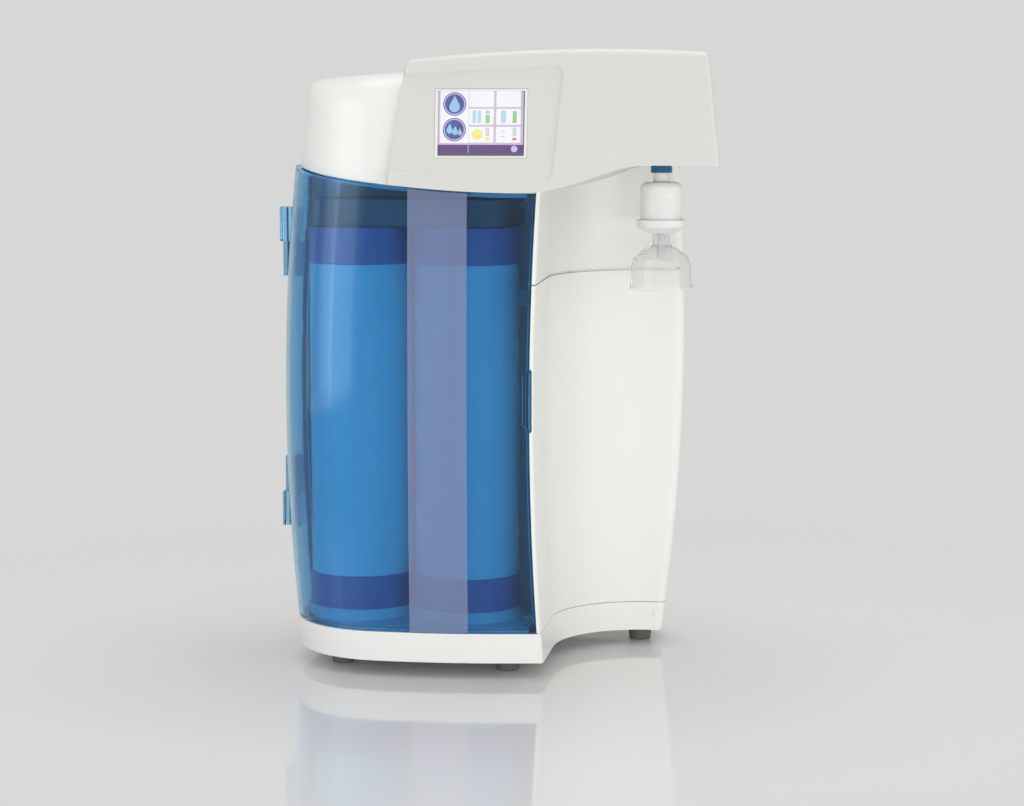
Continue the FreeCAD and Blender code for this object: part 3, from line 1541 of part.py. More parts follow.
def power_inlet_socket():
    """Power inlet with socket, fuse drawer slot and switch opening."""
    outer = rear_y + inlet_plate
    half_w = inlet_width / 2
    half_h = inlet_height / 2
    plate = box((inlet_x - half_w, rear_y, inlet_z - half_h), (inlet_x + half_w, outer, inlet_z + half_h))
    edges = [edge for edge in plate.Edges if edge.BoundBox.YLength > inlet_plate / 2]
    plate = plate.makeFillet(inlet_corner, edges)
    case_w = half_w - inlet_plate
    case_h = half_h - inlet_plate
    body = plate.fuse(box((inlet_x - case_w, rear_y - inlet_depth, inlet_z - case_h),
                          (inlet_x + case_w, rear_y, inlet_z + case_h)))
    socket_z, drawer_z, rocker_z = inlet_levels()
    body = body.cut(slot(socket_width, socket_height, socket_z, socket_depth))
    body = body.cut(slot(drawer_width + 2 * fit_gap, drawer_slot, drawer_z,
                         drawer_depth + inlet_plate + fit_gap))
    body = body.cut(slot(rocker_width + 2 * fit_gap, rocker_slot, rocker_z, rocker_pocket))
    body = body.cut(rocker_pin(running_clearance))
    w, h = socket_pin_size
    for i, drop in enumerate(socket_pin_drops):
        z = socket_z - drop
        x = inlet_x + (i - 1) * socket_pin_spacing
        pin = box((x - w / 2, outer - socket_depth - over, z - h / 2),
                  (x + w / 2, outer - socket_pin_setback, z + h / 2))
        body = body.fuse(pin)
    return body


def slot(width, height, z, depth):
    """Rectangular pocket from the face of the power inlet."""
    outer = rear_y + inlet_plate
    return box((inlet_x - width / 2, outer - depth, z - height / 2),
               (inlet_x + width / 2, outer + over, z + height / 2))


def rocker_pivot():
    """Axis of the power switch, as (y, z)."""
    return rear_y + inlet_plate - rocker_pivot_depth, inlet_levels()[2]


def rocker_pin(clearance):
    """Pin of the power switch along its pivot, thicker and longer by a clearance."""
    y, z = rocker_pivot()
    length = rocker_width + 2 * (fit_gap + rocker_pin_reach + clearance)
    start = (inlet_x - length / 2, y, z)
    return rod(rocker_pin_radius + clearance, start, length, RIGHT)


def power_switch_rocker():
    """Rocker with two slanted faces about its pivot."""
    y, z = rocker_pivot()
    half = rocker_height / 2 - rocker_relief
    front = y + rocker_pivot_depth
    back = half * rocker_back_share
    points = [(0, y - rocker_back, z - back), (0, front - rocker_low, z - half),
              (0, front - rocker_middle, z), (0, front + rocker_proud, z + half),
              (0, y - rocker_back, z + back)]
    width = rocker_width - 2 * fit_gap
    rocker = prism(points, (inlet_x - width / 2, 0, 0), (width, 0, 0))
    return rocker.fuse(rocker_pin(0.0))


def fuse_drawer():
    """Fuse drawer with a finger lip."""
    outer = rear_y + inlet_plate
    z = inlet_levels()[1]
    half_w = drawer_width / 2
    half_h = drawer_height / 2
    drawer = box((inlet_x - half_w, outer - drawer_depth, z - half_h),
                 (inlet_x + half_w, outer + drawer_lip, z + half_h))
    tray = box((inlet_x - half_w + drawer_side, outer - drawer_depth + drawer_end,
                z - half_h + drawer_floor),
               (inlet_x + half_w - drawer_side, outer - drawer_end, z + half_h + over))
    return drawer.cut(tray)


# ---- tubing ------------------------------------------------------------------------------------------------
def tube_along(points):
    """Hollow tube along straight runs joined by tangent arcs."""
    corners = [Vec(*point) for point in points]
    edges = []
    last = corners[0]
    for i in range(1, len(corners) - 1):
        arrive = (corners[i] - corners[i - 1]).normalize()
        leave = (corners[i + 1] - corners[i]).normalize()
        turn = arrive.getAngle(leave)
        setback = tube_bend * math.tan(turn / 2)
        start = corners[i] - arrive * setback
        end = corners[i] + leave * setback
        to_centre = (leave - arrive).normalize()
        middle = corners[i] + to_centre * (tube_bend / math.cos(turn / 2) - tube_bend)
        edges.append(Part.LineSegment(last, start).toShape())
        edges.append(Part.Arc(start, middle, end).toShape())
        last = end
    edges.append(Part.LineSegment(last, corners[-1]).toShape())
    path = Part.Wire(edges)
    heading = (corners[1] - corners[0]).normalize()
    outer = Part.Wire(Part.makeCircle(tube_radius, corners[0], heading))
    inner = Part.Wire(Part.makeCircle(tube_bore, corners[0], heading))
    solid = path.makePipeShell([outer], True, True)
    return solid.cut(path.makePipeShell([inner], True, True))


def feed_tube():
    """From the feed port up to the inlet valve."""
    return tube_along([(feed_x, rear_lane_y, port_z + port_body_radius),
                       (feed_x, rear_lane_y, inlet_valve_z)])


def pump_inlet_tube():
    """From the inlet valve over the reactor's back down to the pump."""
    z = inlet_valve_z + valve_height / 2
    y = rear_lane_y
    return tube_along([(feed_x - valve_width / 2, y, z), (pump_x, y, z), (pump_x, pump_y, z),
                       (pump_x, pump_y, pump_levels()[2] + tube_seat)])


def manifold_inlet_tube():
    """From the pump up to the manifold."""
    z = pump_levels()[2] - pump_outlet_drop
    top = manifold_z() - stub_radius
    return tube_along([(pump_x, pump_y - pump_head_radius - tube_seat, z), (pump_x, tube_lane_y, z),
                       (pump_x, tube_lane_y, top)])


def polishing_tubes():
    """Manifold, reactor, ultrafilter, outlet valve and fitting in turn, and ultrafilter to drain."""
    low, high = uv_boss_levels()
    boss_y = uv_y - uv_radius - tube_seat
    lane = uv_y - uv_radius - uv_boss_reach - tube_bend
    drain_z = floor_z + filter_cap_height / 2
    filter_top = floor_z + filter_height
    side_z = filter_top - filter_cap_height / 2
    rim = filter_radius + filter_cap_extra
    outlet_z = head_under_z + wall + plate_thickness + valve_height / 2
    tubes = [
        [(uv_x, tube_lane_y, manifold_z() - stub_radius), (uv_x, tube_lane_y, low),
         (uv_x, boss_y, low)],
        [(uv_x, boss_y, high), (uv_x, lane, high), (filter_x, lane, high),
         (filter_x, filter_y, high), (filter_x, filter_y, filter_top + tube_seat)],
        [(filter_x + rim, filter_y, side_z), (upper_lane_x, filter_y, side_z),
         (upper_lane_x, filter_y, outlet_z), (upper_lane_x, outlet_valve_y, outlet_z),
         (dispense_x - valve_width / 2, outlet_valve_y, outlet_z)],
        [(dispense_x, outlet_valve_y - valve_depth / 2, outlet_z),
         (dispense_x, dispense_y + fitting_radius, outlet_z)],
        [(filter_x, filter_y + rim, drain_z), (filter_x, rear_lane_y, drain_z),
         (drain_x, rear_lane_y, drain_z), (drain_x, rear_lane_y, port_z - port_body_radius)],
    ]
    return Part.makeCompound([tube_along(points) for points in tubes])


# ---- assembly ---------------------------------------------------------------------------------------------
def build():
    """Every node of the system by name."""
    skin = cover_ring()
    head_solid = head_block(0.0, 0.0, head_edge_radius, head_top_radius)
    right_low, right_high = right_covers(skin)
    inlet_place = (feed_x, rear_y - wall - valve_depth / 2, inlet_valve_z)
    outlet_place = (dispense_x, outlet_valve_y, head_under_z + wall + plate_thickness)
    nodes = {
        "base_tray": base_tray(),
        "rubber_feet": rubber_feet(),
        "foot_screws": foot_screws(),
        "left_side_cover": left_side_cover(skin),
        "right_side_cover_lower": right_low,
        "right_side_cover_upper": right_high,
        "rear_panel": rear_panel(skin),
        "cover_screws": cover_screws(),
        "top_cover": top_cover(head_solid),
        "head_cover": head_shell(head_solid),
        "head_underside_plate": head_underside_plate(),
        "display_bezel": display_bezel(),
        "touch_glass": touch_glass(),
        "display_module": display_module(),
        "control_board": control_board(),
        "door_panel": door_panel(),
        "door_stripe": door_stripe(),
        "door_magnet": door_magnet(),
        "hinge_brackets": hinge_brackets(),
        "hinge_pins": hinge_pins(),
        "bay_rear_wall": bay_rear_wall(),
        "bay_ceiling": bay_ceiling(),
        "cartridge_cradle": cartridge_cradle(),
        "cartridge_manifold": cartridge_manifold(),
        "dispense_fitting": dispense_fitting(),
        "dispense_collet": dispense_collet(),
        "capsule_body": capsule_body(),
        "capsule_bell": capsule_bell(),
        "power_supply": power_supply(),
        "pump_bracket": pump_bracket(),
        "pump_motor": pump_motor(),
        "pump_head": pump_head(),
        "pump_rotor": pump_rotor(),
        "uv_chamber": uv_chamber(),
        "uv_lamp": uv_lamp(),
        "ultrafilter_module": ultrafilter_module(),
        "inlet_valve": valve(*inlet_place),
        "inlet_plunger": plunger(*inlet_place),
        "inlet_spring": valve_spring(*inlet_place),
        "outlet_valve": valve(*outlet_place),
        "outlet_plunger": plunger(*outlet_place),
        "outlet_spring": valve_spring(*outlet_place),
        "conductivity_cell": conductivity_cell(),
        "feed_tube": feed_tube(),
        "pump_inlet_tube": pump_inlet_tube(),
        "manifold_inlet_tube": manifold_inlet_tube(),
        "polishing_tubes": polishing_tubes(),
        "feed_port": port(feed_x, feed_tube_radius),
        "drain_port": port(drain_x, drain_tube_radius),
        "feed_collet": port_collet(feed_x, feed_tube_radius),
        "drain_collet": port_collet(drain_x, drain_tube_radius),
        "power_inlet_socket": power_inlet_socket(),
        "power_switch_rocker": power_switch_rocker(),
        "fuse_drawer": fuse_drawer(),
    }
    for index, side in enumerate(("left", "right")):
        nodes["cartridge_" + side + "_body"] = cartridge_body(index)
        nodes["cartridge_" + side + "_top_cap"] = cartridge_top_cap(index)
        nodes["cartridge_" + side + "_bottom_cap"] = cartridge_bottom_cap(index)
    return nodes


os.makedirs("parts", exist_ok=True)
for name, shape in build().items():
    shape.exportStep("parts/" + name + ".step")
    print(name, len(shape.Solids), "solids", round(shape.Volume), "mm3", shape.isValid())
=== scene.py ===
import bpy, bmesh, math
from mathutils import Vector, Matrix


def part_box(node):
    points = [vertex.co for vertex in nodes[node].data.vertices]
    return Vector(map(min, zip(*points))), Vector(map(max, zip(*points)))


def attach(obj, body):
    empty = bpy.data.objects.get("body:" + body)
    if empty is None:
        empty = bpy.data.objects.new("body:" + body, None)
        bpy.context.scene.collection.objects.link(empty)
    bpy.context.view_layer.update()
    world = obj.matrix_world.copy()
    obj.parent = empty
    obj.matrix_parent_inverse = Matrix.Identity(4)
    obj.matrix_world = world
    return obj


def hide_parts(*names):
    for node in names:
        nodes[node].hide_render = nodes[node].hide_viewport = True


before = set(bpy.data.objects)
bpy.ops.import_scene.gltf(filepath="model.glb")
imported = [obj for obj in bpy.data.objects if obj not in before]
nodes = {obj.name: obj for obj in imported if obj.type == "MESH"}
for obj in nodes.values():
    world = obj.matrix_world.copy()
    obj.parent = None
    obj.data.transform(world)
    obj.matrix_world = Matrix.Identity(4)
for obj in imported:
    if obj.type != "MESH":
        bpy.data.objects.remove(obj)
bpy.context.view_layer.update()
print("frame loaded:", len(nodes), "nodes")

# camera
cameraSet = {
    "place": (0.3935, -2.2037, 0.500),
    "turn": 10.0,       # degrees to the left of straight back
    "down": 6.725,      # degrees below the horizon
    "lens": 84.375,
}


def makeCamera(values):
    data = bpy.data.cameras.new("camera")
    data.lens = values["lens"]
    data.sensor_width = 36.0
    data.clip_start, data.clip_end = 0.05, 60.0
    camera = bpy.data.objects.new("camera", data)
    bpy.context.scene.collection.objects.link(camera)
    camera.location = values["place"]
    camera.rotation_euler = (math.radians(90 - values["down"]), 0, math.radians(values["turn"]))
    bpy.context.scene.camera = camera


makeCamera(cameraSet)

# studio
studio = {
    "background": (0.679, 0.679, 0.679),
    "sky": 0.60,
    "floorSize": 12.0,
    "floorColour": (0.80, 0.80, 0.79),
    "floorRough": 0.07,
    "floorGloss": 0.32,
    "fadeStart": 0.38,   # metres from the origin where the floor begins to melt into the backdrop
    "fadeEnd": 0.95,
}
lamps = [
    # name, place, aimed at, width, height, watts, shows in gloss
    ("leftLamp", (-1.88, -0.65, 0.60), (-0.1, 0.0, 0.30), 1.2, 3.0, 6.2, True),
    ("lowLamp", (0.4, -2.3, 0.14), (0.04, 0.0, 0.12), 2.8, 0.24, 23.0, False),
    ("rightLamp", (2.3, -1.0, 0.40), (0.15, 0.0, 0.20), 1.5, 1.0, 10.0, False),
    ("topLamp", (0.1, 0.2, 2.4), (0.0, 0.0, 0.5), 1.8, 1.4, 18.0, True),
]
softCards = [
    # glowing cards that show in reflections alone; glow: share of the width, and how much it glows there
    {
        "name": "leftCard",
        "place": (-1.78, -1.55, 0.60),
        "aim": (-0.15, -0.1, 0.60),
        "width": 2.5,
        "height": 3.0,
        "strength": 4.0,
        "glow": ((0.0, 0.20), (0.20, 0.55), (0.50, 0.60), (0.56, 1.0), (0.62, 0.55), (0.74, 0.40),
                 (0.86, 0.16), (1.0, 0.0)),
    },
    {
        "name": "rightCard",
        "place": (1.90, -1.10, 0.50),
        "aim": (0.15, -0.05, 0.35),
        "width": 1.0,
        "height": 2.0,
        "strength": 1.2,
        "glow": ((0.0, 0.0), (0.3, 1.0), (0.7, 1.0), (1.0, 0.0)),
    },
]


def makeLamp(name, place, aim, width, height, watts, inGloss):
    data = bpy.data.lights.new(name, "AREA")
    data.shape = "RECTANGLE"
    data.size, data.size_y, data.energy = width, height, watts
    lamp = bpy.data.objects.new(name, data)
    bpy.context.scene.collection.objects.link(lamp)
    lamp.visible_glossy = lamp.visible_transmission = inGloss
    lamp.location = place
    lamp.rotation_euler = (Vector(aim) - Vector(place)).to_track_quat("-Z", "Y").to_euler()


def makeWorld(values):
    world = bpy.data.worlds.new("studioWorld")
    bpy.context.scene.world = world
    world.use_nodes = True
    tree = world.node_tree
    tree.nodes.clear()
    path = tree.nodes.new("ShaderNodeLightPath")
    lit = tree.nodes.new("ShaderNodeBackground")
    lit.inputs["Color"].default_value = (1, 1, 1, 1)
    lit.inputs["Strength"].default_value = values["sky"]
    seen = tree.nodes.new("ShaderNodeBackground")
    seen.inputs["Color"].default_value = (*values["background"], 1)
    seen.inputs["Strength"].default_value = 1.0
    direct = tree.nodes.new("ShaderNodeMath")
    direct.operation = "MAXIMUM"
    tree.links.new(path.outputs["Is Camera Ray"], direct.inputs[0])
    tree.links.new(path.outputs["Is Transmission Ray"], direct.inputs[1])
    mix = tree.nodes.new("ShaderNodeMixShader")
    tree.links.new(direct.outputs[0], mix.inputs["Fac"])
    tree.links.new(lit.outputs[0], mix.inputs[1])
    tree.links.new(seen.outputs[0], mix.inputs[2])
    out = tree.nodes.new("ShaderNodeOutputWorld")
    tree.links.new(mix.outputs[0], out.inputs["Surface"])


def makeFloor(values):
    half = values["floorSize"] / 2
    mesh = bpy.data.meshes.new("floor")
    mesh.from_pydata([(-half, -half, 0), (half, -half, 0), (half, half, 0), (-half, half, 0)], [],
                     [(0, 1, 2, 3)])
    floor = bpy.data.objects.new("floor", mesh)
    bpy.context.scene.collection.objects.link(floor)
    material = bpy.data.materials.new("studioFloor")
    material.use_nodes = True
    tree = material.node_tree
    principled = tree.nodes["Principled BSDF"]
    principled.inputs["Base Color"].default_value = (*values["floorColour"], 1)
    principled.inputs["Roughness"].default_value = values["floorRough"]
    principled.inputs["Specular IOR Level"].default_value = values["floorGloss"]
    backdrop = tree.nodes.new("ShaderNodeEmission")
    backdrop.inputs["Color"].default_value = (*values["background"], 1)
    coordinates = tree.nodes.new("ShaderNodeTexCoord")
    distance = tree.nodes.new("ShaderNodeVectorMath")
    distance.operation = "LENGTH"
    tree.links.new(coordinates.outputs["Object"], distance.inputs[0])
    fade = tree.nodes.new("ShaderNodeMapRange")
    fade.interpolation_type = "SMOOTHSTEP"
    fade.inputs["From Min"].default_value = values["fadeStart"]
    fade.inputs["From Max"].default_value = values["fadeEnd"]
    tree.links.new(distance.outputs["Value"], fade.inputs["Value"])
    mix = tree.nodes.new("ShaderNodeMixShader")
    tree.links.new(fade.outputs["Result"], mix.inputs["Fac"])
    tree.links.new(principled.outputs[0], mix.inputs[1])
    tree.links.new(backdrop.outputs[0], mix.inputs[2])
    tree.links.new(mix.outputs[0], tree.nodes["Material Output"].inputs["Surface"])
    mesh.materials.append(material)


def makeSoftCard(values):
    halfWide, halfTall = values["width"] / 2, values["height"] / 2
    mesh = bpy.data.meshes.new(values["name"])
    mesh.from_pydata([(-halfWide, -halfTall, 0), (halfWide, -halfTall, 0), (halfWide, halfTall, 0),
                      (-halfWide, halfTall, 0)], [], [(0, 1, 2, 3)])
    card = bpy.data.objects.new(values["name"], mesh)
    bpy.context.scene.collection.objects.link(card)
    card.location = values["place"]
    toward = Vector(values["aim"]) - Vector(values["place"])
    card.rotation_euler = toward.to_track_quat("Z", "Y").to_euler()
    card.visible_camera = card.visible_diffuse = card.visible_shadow = False
    material = bpy.data.materials.new(values["name"])
    material.use_nodes = True
    tree = material.node_tree
    tree.nodes.clear()
    coordinates = tree.nodes.new("ShaderNodeTexCoord")
    split = tree.nodes.new("ShaderNodeSeparateXYZ")
    share = tree.nodes.new("ShaderNodeMapRange")
    share.inputs["From Min"].default_value = -halfWide
    share.inputs["From Max"].default_value = halfWide
    ramp = tree.nodes.new("ShaderNodeValToRGB")
    ramp.color_ramp.interpolation = "EASE"
    stops = ramp.color_ramp.elements
    while len(stops) < len(values["glow"]):
        stops.new(0.5)
    for stop, (position, glow) in zip(stops, values["glow"]):
        stop.position = position
        stop.color = (glow, glow, glow, 1)
    light = tree.nodes.new("ShaderNodeEmission")
    light.inputs["Strength"].default_value = values["strength"]
    out = tree.nodes.new("ShaderNodeOutputMaterial")
    tree.links.new(coordinates.outputs["Object"], split.inputs["Vector"])
    tree.links.new(split.outputs["X"], share.inputs["Value"])
    tree.links.new(share.outputs["Result"], ramp.inputs["Fac"])
    tree.links.new(ramp.outputs["Color"], light.inputs["Color"])
    tree.links.new(light.outputs[0], out.inputs["Surface"])
    mesh.materials.append(material)


for lamp in lamps:
    makeLamp(*lamp)
for card in softCards:
    makeSoftCard(card)
makeWorld(studio)
makeFloor(studio)
bpy.context.scene.view_settings.view_transform = "Standard"
print("studio ready")


# materials
grain = {
    # noise scales: a larger one is a finer grain
    "plasticTone": 9.0,
    "plasticGloss": 26.0,
    "metalTone": 30.0,
    "metalGloss": 260.0,
    "metalBrush": 700.0,
    "paneGloss": 14.0,
    "milkTone": 40.0,
    "milkGloss": 60.0,
    "filmTone": 120.0,
    "filmGloss": 90.0,
    "inkTone": 300.0,
    "inkGloss": 80.0,
}


def startMaterial(name):
    material = bpy.data.materials.new(name)
    material.use_nodes = True
    tree = material.node_tree
    return material, tree, tree.nodes["Principled BSDF"]


def objectNoise(tree, scale, detail=3.0, stretch=(1, 1, 1)):
    coordinates = tree.nodes.new("ShaderNodeTexCoord")
    mapping = tree.nodes.new("ShaderNodeMapping")
    mapping.inputs["Scale"].default_value = stretch
    noise = tree.nodes.new("ShaderNodeTexNoise")
    noise.inputs["Scale"].default_value = scale
    noise.inputs["Detail"].default_value = detail
    tree.links.new(coordinates.outputs["Object"], mapping.inputs["Vector"])
    tree.links.new(mapping.outputs["Vector"], noise.inputs["Vector"])
    return noise


def driveRoughness(tree, principled, noise, low, high):
    spread = tree.nodes.new("ShaderNodeMapRange")
    spread.inputs["From Min"].default_value = 0.3
    spread.inputs["From Max"].default_value = 0.7
    spread.inputs["To Min"].default_value = low
    spread.inputs["To Max"].default_value = high
    tree.links.new(noise.outputs["Fac"], spread.inputs["Value"])
    tree.links.new(spread.outputs["Result"], principled.inputs["Roughness"])


def driveBump(tree, principled, noise, depth):
    bump = tree.nodes.new("ShaderNodeBump")
    bump.inputs["Distance"].default_value = depth
    bump.inputs["Strength"].default_value = 1.0
    tree.links.new(noise.outputs["Fac"], bump.inputs["Height"])
    tree.links.new(bump.outputs["Normal"], principled.inputs["Normal"])


def driveColour(tree, principled, noise, first, second):
    mix = tree.nodes.new("ShaderNodeMix")
    mix.data_type = "RGBA"
    mix.inputs[6].default_value = (*first, 1)
    mix.inputs[7].default_value = (*second, 1)
    tree.links.new(noise.outputs["Fac"], mix.inputs[0])
    tree.links.new(mix.outputs[2], principled.inputs["Base Color"])


def mouldedPlastic(name, first, second, low, high, texture=1400.0, depth=0.0000012):
    material, tree, principled = startMaterial(name)
    driveColour(tree, principled, objectNoise(tree, grain["plasticTone"]), first, second)
    driveRoughness(tree, principled, objectNoise(tree, grain["plasticGloss"]), low, high)
    driveBump(tree, principled, objectNoise(tree, texture, 2.0), depth)
    return material


def metal(name, colour, low, high, stretch=(1, 1, 12), depth=0.000003):
    material, tree, principled = startMaterial(name)
    principled.inputs["Metallic"].default_value = 1.0
    shade = tuple(c * 0.9 for c in colour)
    driveColour(tree, principled, objectNoise(tree, grain["metalTone"], 4.0, stretch), shade, colour)
    driveRoughness(tree, principled, objectNoise(tree, grain["metalGloss"], 4.0, stretch), low, high)
    driveBump(tree, principled, objectNoise(tree, grain["metalBrush"], 3.0, stretch), depth)
    return material


def letLampsThrough(tree, principled, tint=(1, 1, 1)):
    path = tree.nodes.new("ShaderNodeLightPath")
    through = tree.nodes.new("ShaderNodeMath")
    through.operation = "MAXIMUM"
    tree.links.new(path.outputs["Is Shadow Ray"], through.inputs[0])
    tree.links.new(path.outputs["Is Diffuse Ray"], through.inputs[1])
    clear = tree.nodes.new("ShaderNodeBsdfTransparent")
    clear.inputs["Color"].default_value = (*tint, 1)
    mix = tree.nodes.new("ShaderNodeMixShader")
    tree.links.new(through.outputs[0], mix.inputs["Fac"])
    tree.links.new(principled.outputs[0], mix.inputs[1])
    tree.links.new(clear.outputs[0], mix.inputs[2])
    tree.links.new(mix.outputs[0], tree.nodes["Material Output"].inputs["Surface"])


def tintedPane(name, tint, low, high, ior=1.4):
    # each face that light crosses tints it once
    material, tree, principled = startMaterial(name)
    principled.inputs["Base Color"].default_value = (*tint, 1)
    principled.inputs["Transmission Weight"].default_value = 1.0
    principled.inputs["IOR"].default_value = ior
    driveRoughness(tree, principled, objectNoise(tree, grain["paneGloss"]), low, high)
    letLampsThrough(tree, principled, tint)
    return material


def milkyPlastic(name, colour, through, low, high, ior=1.35):
    material, tree, principled = startMaterial(name)
    shade = tuple(c * 0.95 for c in colour)
    driveColour(tree, principled, objectNoise(tree, grain["milkTone"]), shade, colour)
    driveRoughness(tree, principled, objectNoise(tree, grain["milkGloss"]), low, high)
    principled.inputs["Transmission Weight"].default_value = through
    principled.inputs["IOR"].default_value = ior
    letLampsThrough(tree, principled, tuple(through * c for c in colour))
    return material


def frostedFilm(name, colour, clearPart):
    material, tree, principled = startMaterial(name)
    shade = tuple(c * 0.96 for c in colour)
    driveColour(tree, principled, objectNoise(tree, grain["filmTone"]), shade, colour)
    driveRoughness(tree, principled, objectNoise(tree, grain["filmGloss"]), 0.34, 0.44)
    clear = tree.nodes.new("ShaderNodeBsdfTransparent")
    mix = tree.nodes.new("ShaderNodeMixShader")
    mix.inputs["Fac"].default_value = clearPart
    tree.links.new(principled.outputs[0], mix.inputs[1])
    tree.links.new(clear.outputs[0], mix.inputs[2])
    tree.links.new(mix.outputs[0], tree.nodes["Material Output"].inputs["Surface"])
    return material


def litInk(name, colour, glow=0.16):
    material, tree, principled = startMaterial(name)
    shade = tuple(c * 0.97 for c in colour)
    driveColour(tree, principled, objectNoise(tree, grain["inkTone"]), shade, colour)
    driveRoughness(tree, principled, objectNoise(tree, grain["inkGloss"]), 0.42, 0.5)
    principled.inputs["Emission Color"].default_value = (*colour, 1)
    principled.inputs["Emission Strength"].default_value = glow
    return material


materials = {
    "whiteCover": mouldedPlastic("whiteCover", (0.82, 0.82, 0.785), (0.83, 0.83, 0.80), 0.30, 0.34),
    # darker white for the head cover and its underside plate: partly the head moulding's own tone, partly
    # painted shade for the weaker light that falls on the head's face
    "headToneAndShade": mouldedPlastic("headToneAndShade", (0.65, 0.655, 0.62), (0.66, 0.665, 0.63), 0.30, 0.34),
    "bayWhite": mouldedPlastic("bayWhite", (0.66, 0.68, 0.69), (0.72, 0.73, 0.74), 0.35, 0.45),
    "footRubber": mouldedPlastic("footRubber", (0.105, 0.104, 0.10), (0.125, 0.124, 0.118), 0.55, 0.7,
                                 600.0, 0.00002),
    "doorBlue": tintedPane("doorBlue", (0.31, 0.645, 0.87), 0.05, 0.07),
    "hingeBlue": tintedPane("hingeBlue", (0.20, 0.44, 0.64), 0.05, 0.10),
    "capBlue": mouldedPlastic("capBlue", (0.30, 0.19, 0.38), (0.34, 0.22, 0.42), 0.25, 0.35),
    "tubeWhite": mouldedPlastic("tubeWhite", (0.795, 0.80, 0.795), (0.805, 0.81, 0.805), 0.25, 0.28),
    "manifoldGrey": mouldedPlastic("manifoldGrey", (0.10, 0.11, 0.13), (0.13, 0.14, 0.16), 0.35, 0.45),
    "blackPlastic": mouldedPlastic("blackPlastic", (0.028, 0.028, 0.03), (0.04, 0.04, 0.042), 0.35, 0.5),
    "fittingWhite": mouldedPlastic("fittingWhite", (0.74, 0.75, 0.73), (0.79, 0.80, 0.78), 0.3, 0.4),
    "colletBlue": mouldedPlastic("colletBlue", (0.006, 0.085, 0.17), (0.010, 0.11, 0.21), 0.25, 0.35),
    "boardGreen": mouldedPlastic("boardGreen", (0.02, 0.14, 0.06), (0.03, 0.18, 0.08), 0.4, 0.5),
    "bezelWhite": mouldedPlastic("bezelWhite", (0.78, 0.785, 0.76), (0.80, 0.805, 0.78), 0.3, 0.38),
    "moduleGrey": mouldedPlastic("moduleGrey", (0.20, 0.20, 0.205), (0.24, 0.24, 0.245), 0.4, 0.5),
    "capsuleMilk": milkyPlastic("capsuleMilk", (0.93, 0.935, 0.91), 0.18, 0.25, 0.35),
    "bellClear": milkyPlastic("bellClear", (0.97, 0.975, 0.97), 0.88, 0.015, 0.03, 1.27),
    "touchClear": milkyPlastic("touchClear", (0.98, 0.98, 0.98), 0.98, 0.01, 0.02, 1.3),
    "stripeFrost": frostedFilm("stripeFrost", (0.27, 0.33, 0.53), 0.60),
    "screwSteel": metal("screwSteel", (0.62, 0.62, 0.63), 0.25, 0.4, (1, 1, 1)),
    "brushedSteel": metal("brushedSteel", (0.66, 0.66, 0.65), 0.25, 0.4),
    "sheetMetal": metal("sheetMetal", (0.68, 0.69, 0.70), 0.3, 0.45),
    "motorBlack": mouldedPlastic("motorBlack", (0.03, 0.03, 0.032), (0.045, 0.045, 0.05), 0.4, 0.5),
    "clearTube": milkyPlastic("clearTube", (0.80, 0.82, 0.82), 0.3, 0.2, 0.3),
    "quartz": milkyPlastic("quartz", (0.9, 0.92, 0.94), 0.8, 0.03, 0.08),
}

dressing = {
    "whiteCover": ["base_tray", "left_side_cover", "right_side_cover_lower", "right_side_cover_upper",
                   "rear_panel", "top_cover"],
    "headToneAndShade": ["head_cover", "head_underside_plate"],
    "bayWhite": ["bay_rear_wall", "bay_ceiling", "cartridge_cradle"],
    "footRubber": ["rubber_feet"],
    "screwSteel": ["foot_screws", "cover_screws", "hinge_pins", "inlet_plunger", "outlet_plunger",
                   "inlet_spring", "outlet_spring"],
    "doorBlue": ["door_panel"],
    "hingeBlue": ["hinge_brackets"],
    "capBlue": ["cartridge_left_top_cap", "cartridge_left_bottom_cap", "cartridge_right_top_cap",
                "cartridge_right_bottom_cap"],
    "tubeWhite": ["cartridge_left_body", "cartridge_right_body"],
    "manifoldGrey": ["cartridge_manifold", "door_magnet", "pump_head", "pump_rotor"],
    "blackPlastic": ["feed_port", "drain_port", "power_inlet_socket", "power_switch_rocker",
                     "fuse_drawer", "inlet_valve", "outlet_valve"],
    "fittingWhite": ["dispense_fitting", "conductivity_cell"],
    "colletBlue": ["dispense_collet", "feed_collet", "drain_collet"],
    "boardGreen": ["control_board"],
    "bezelWhite": ["display_bezel"],
    "moduleGrey": ["display_module"],
    "capsuleMilk": ["capsule_body"],
    "bellClear": ["capsule_bell"],
    "stripeFrost": ["door_stripe"],
    "brushedSteel": ["uv_chamber"],
    "sheetMetal": ["power_supply", "pump_bracket"],
    "motorBlack": ["pump_motor"],
    "clearTube": ["feed_tube", "pump_inlet_tube", "manifold_inlet_tube", "polishing_tubes",
                  "ultrafilter_module"],
    "quartz": ["uv_lamp"],
}


def dress(node, material):
    item = nodes[node]
    item.data.materials.clear()
    item.data.materials.append(material)


for finish, names in dressing.items():
    for node in names:
        dress(node, materials[finish])
print("materials on", sum(len(names) for names in dressing.values()), "nodes")


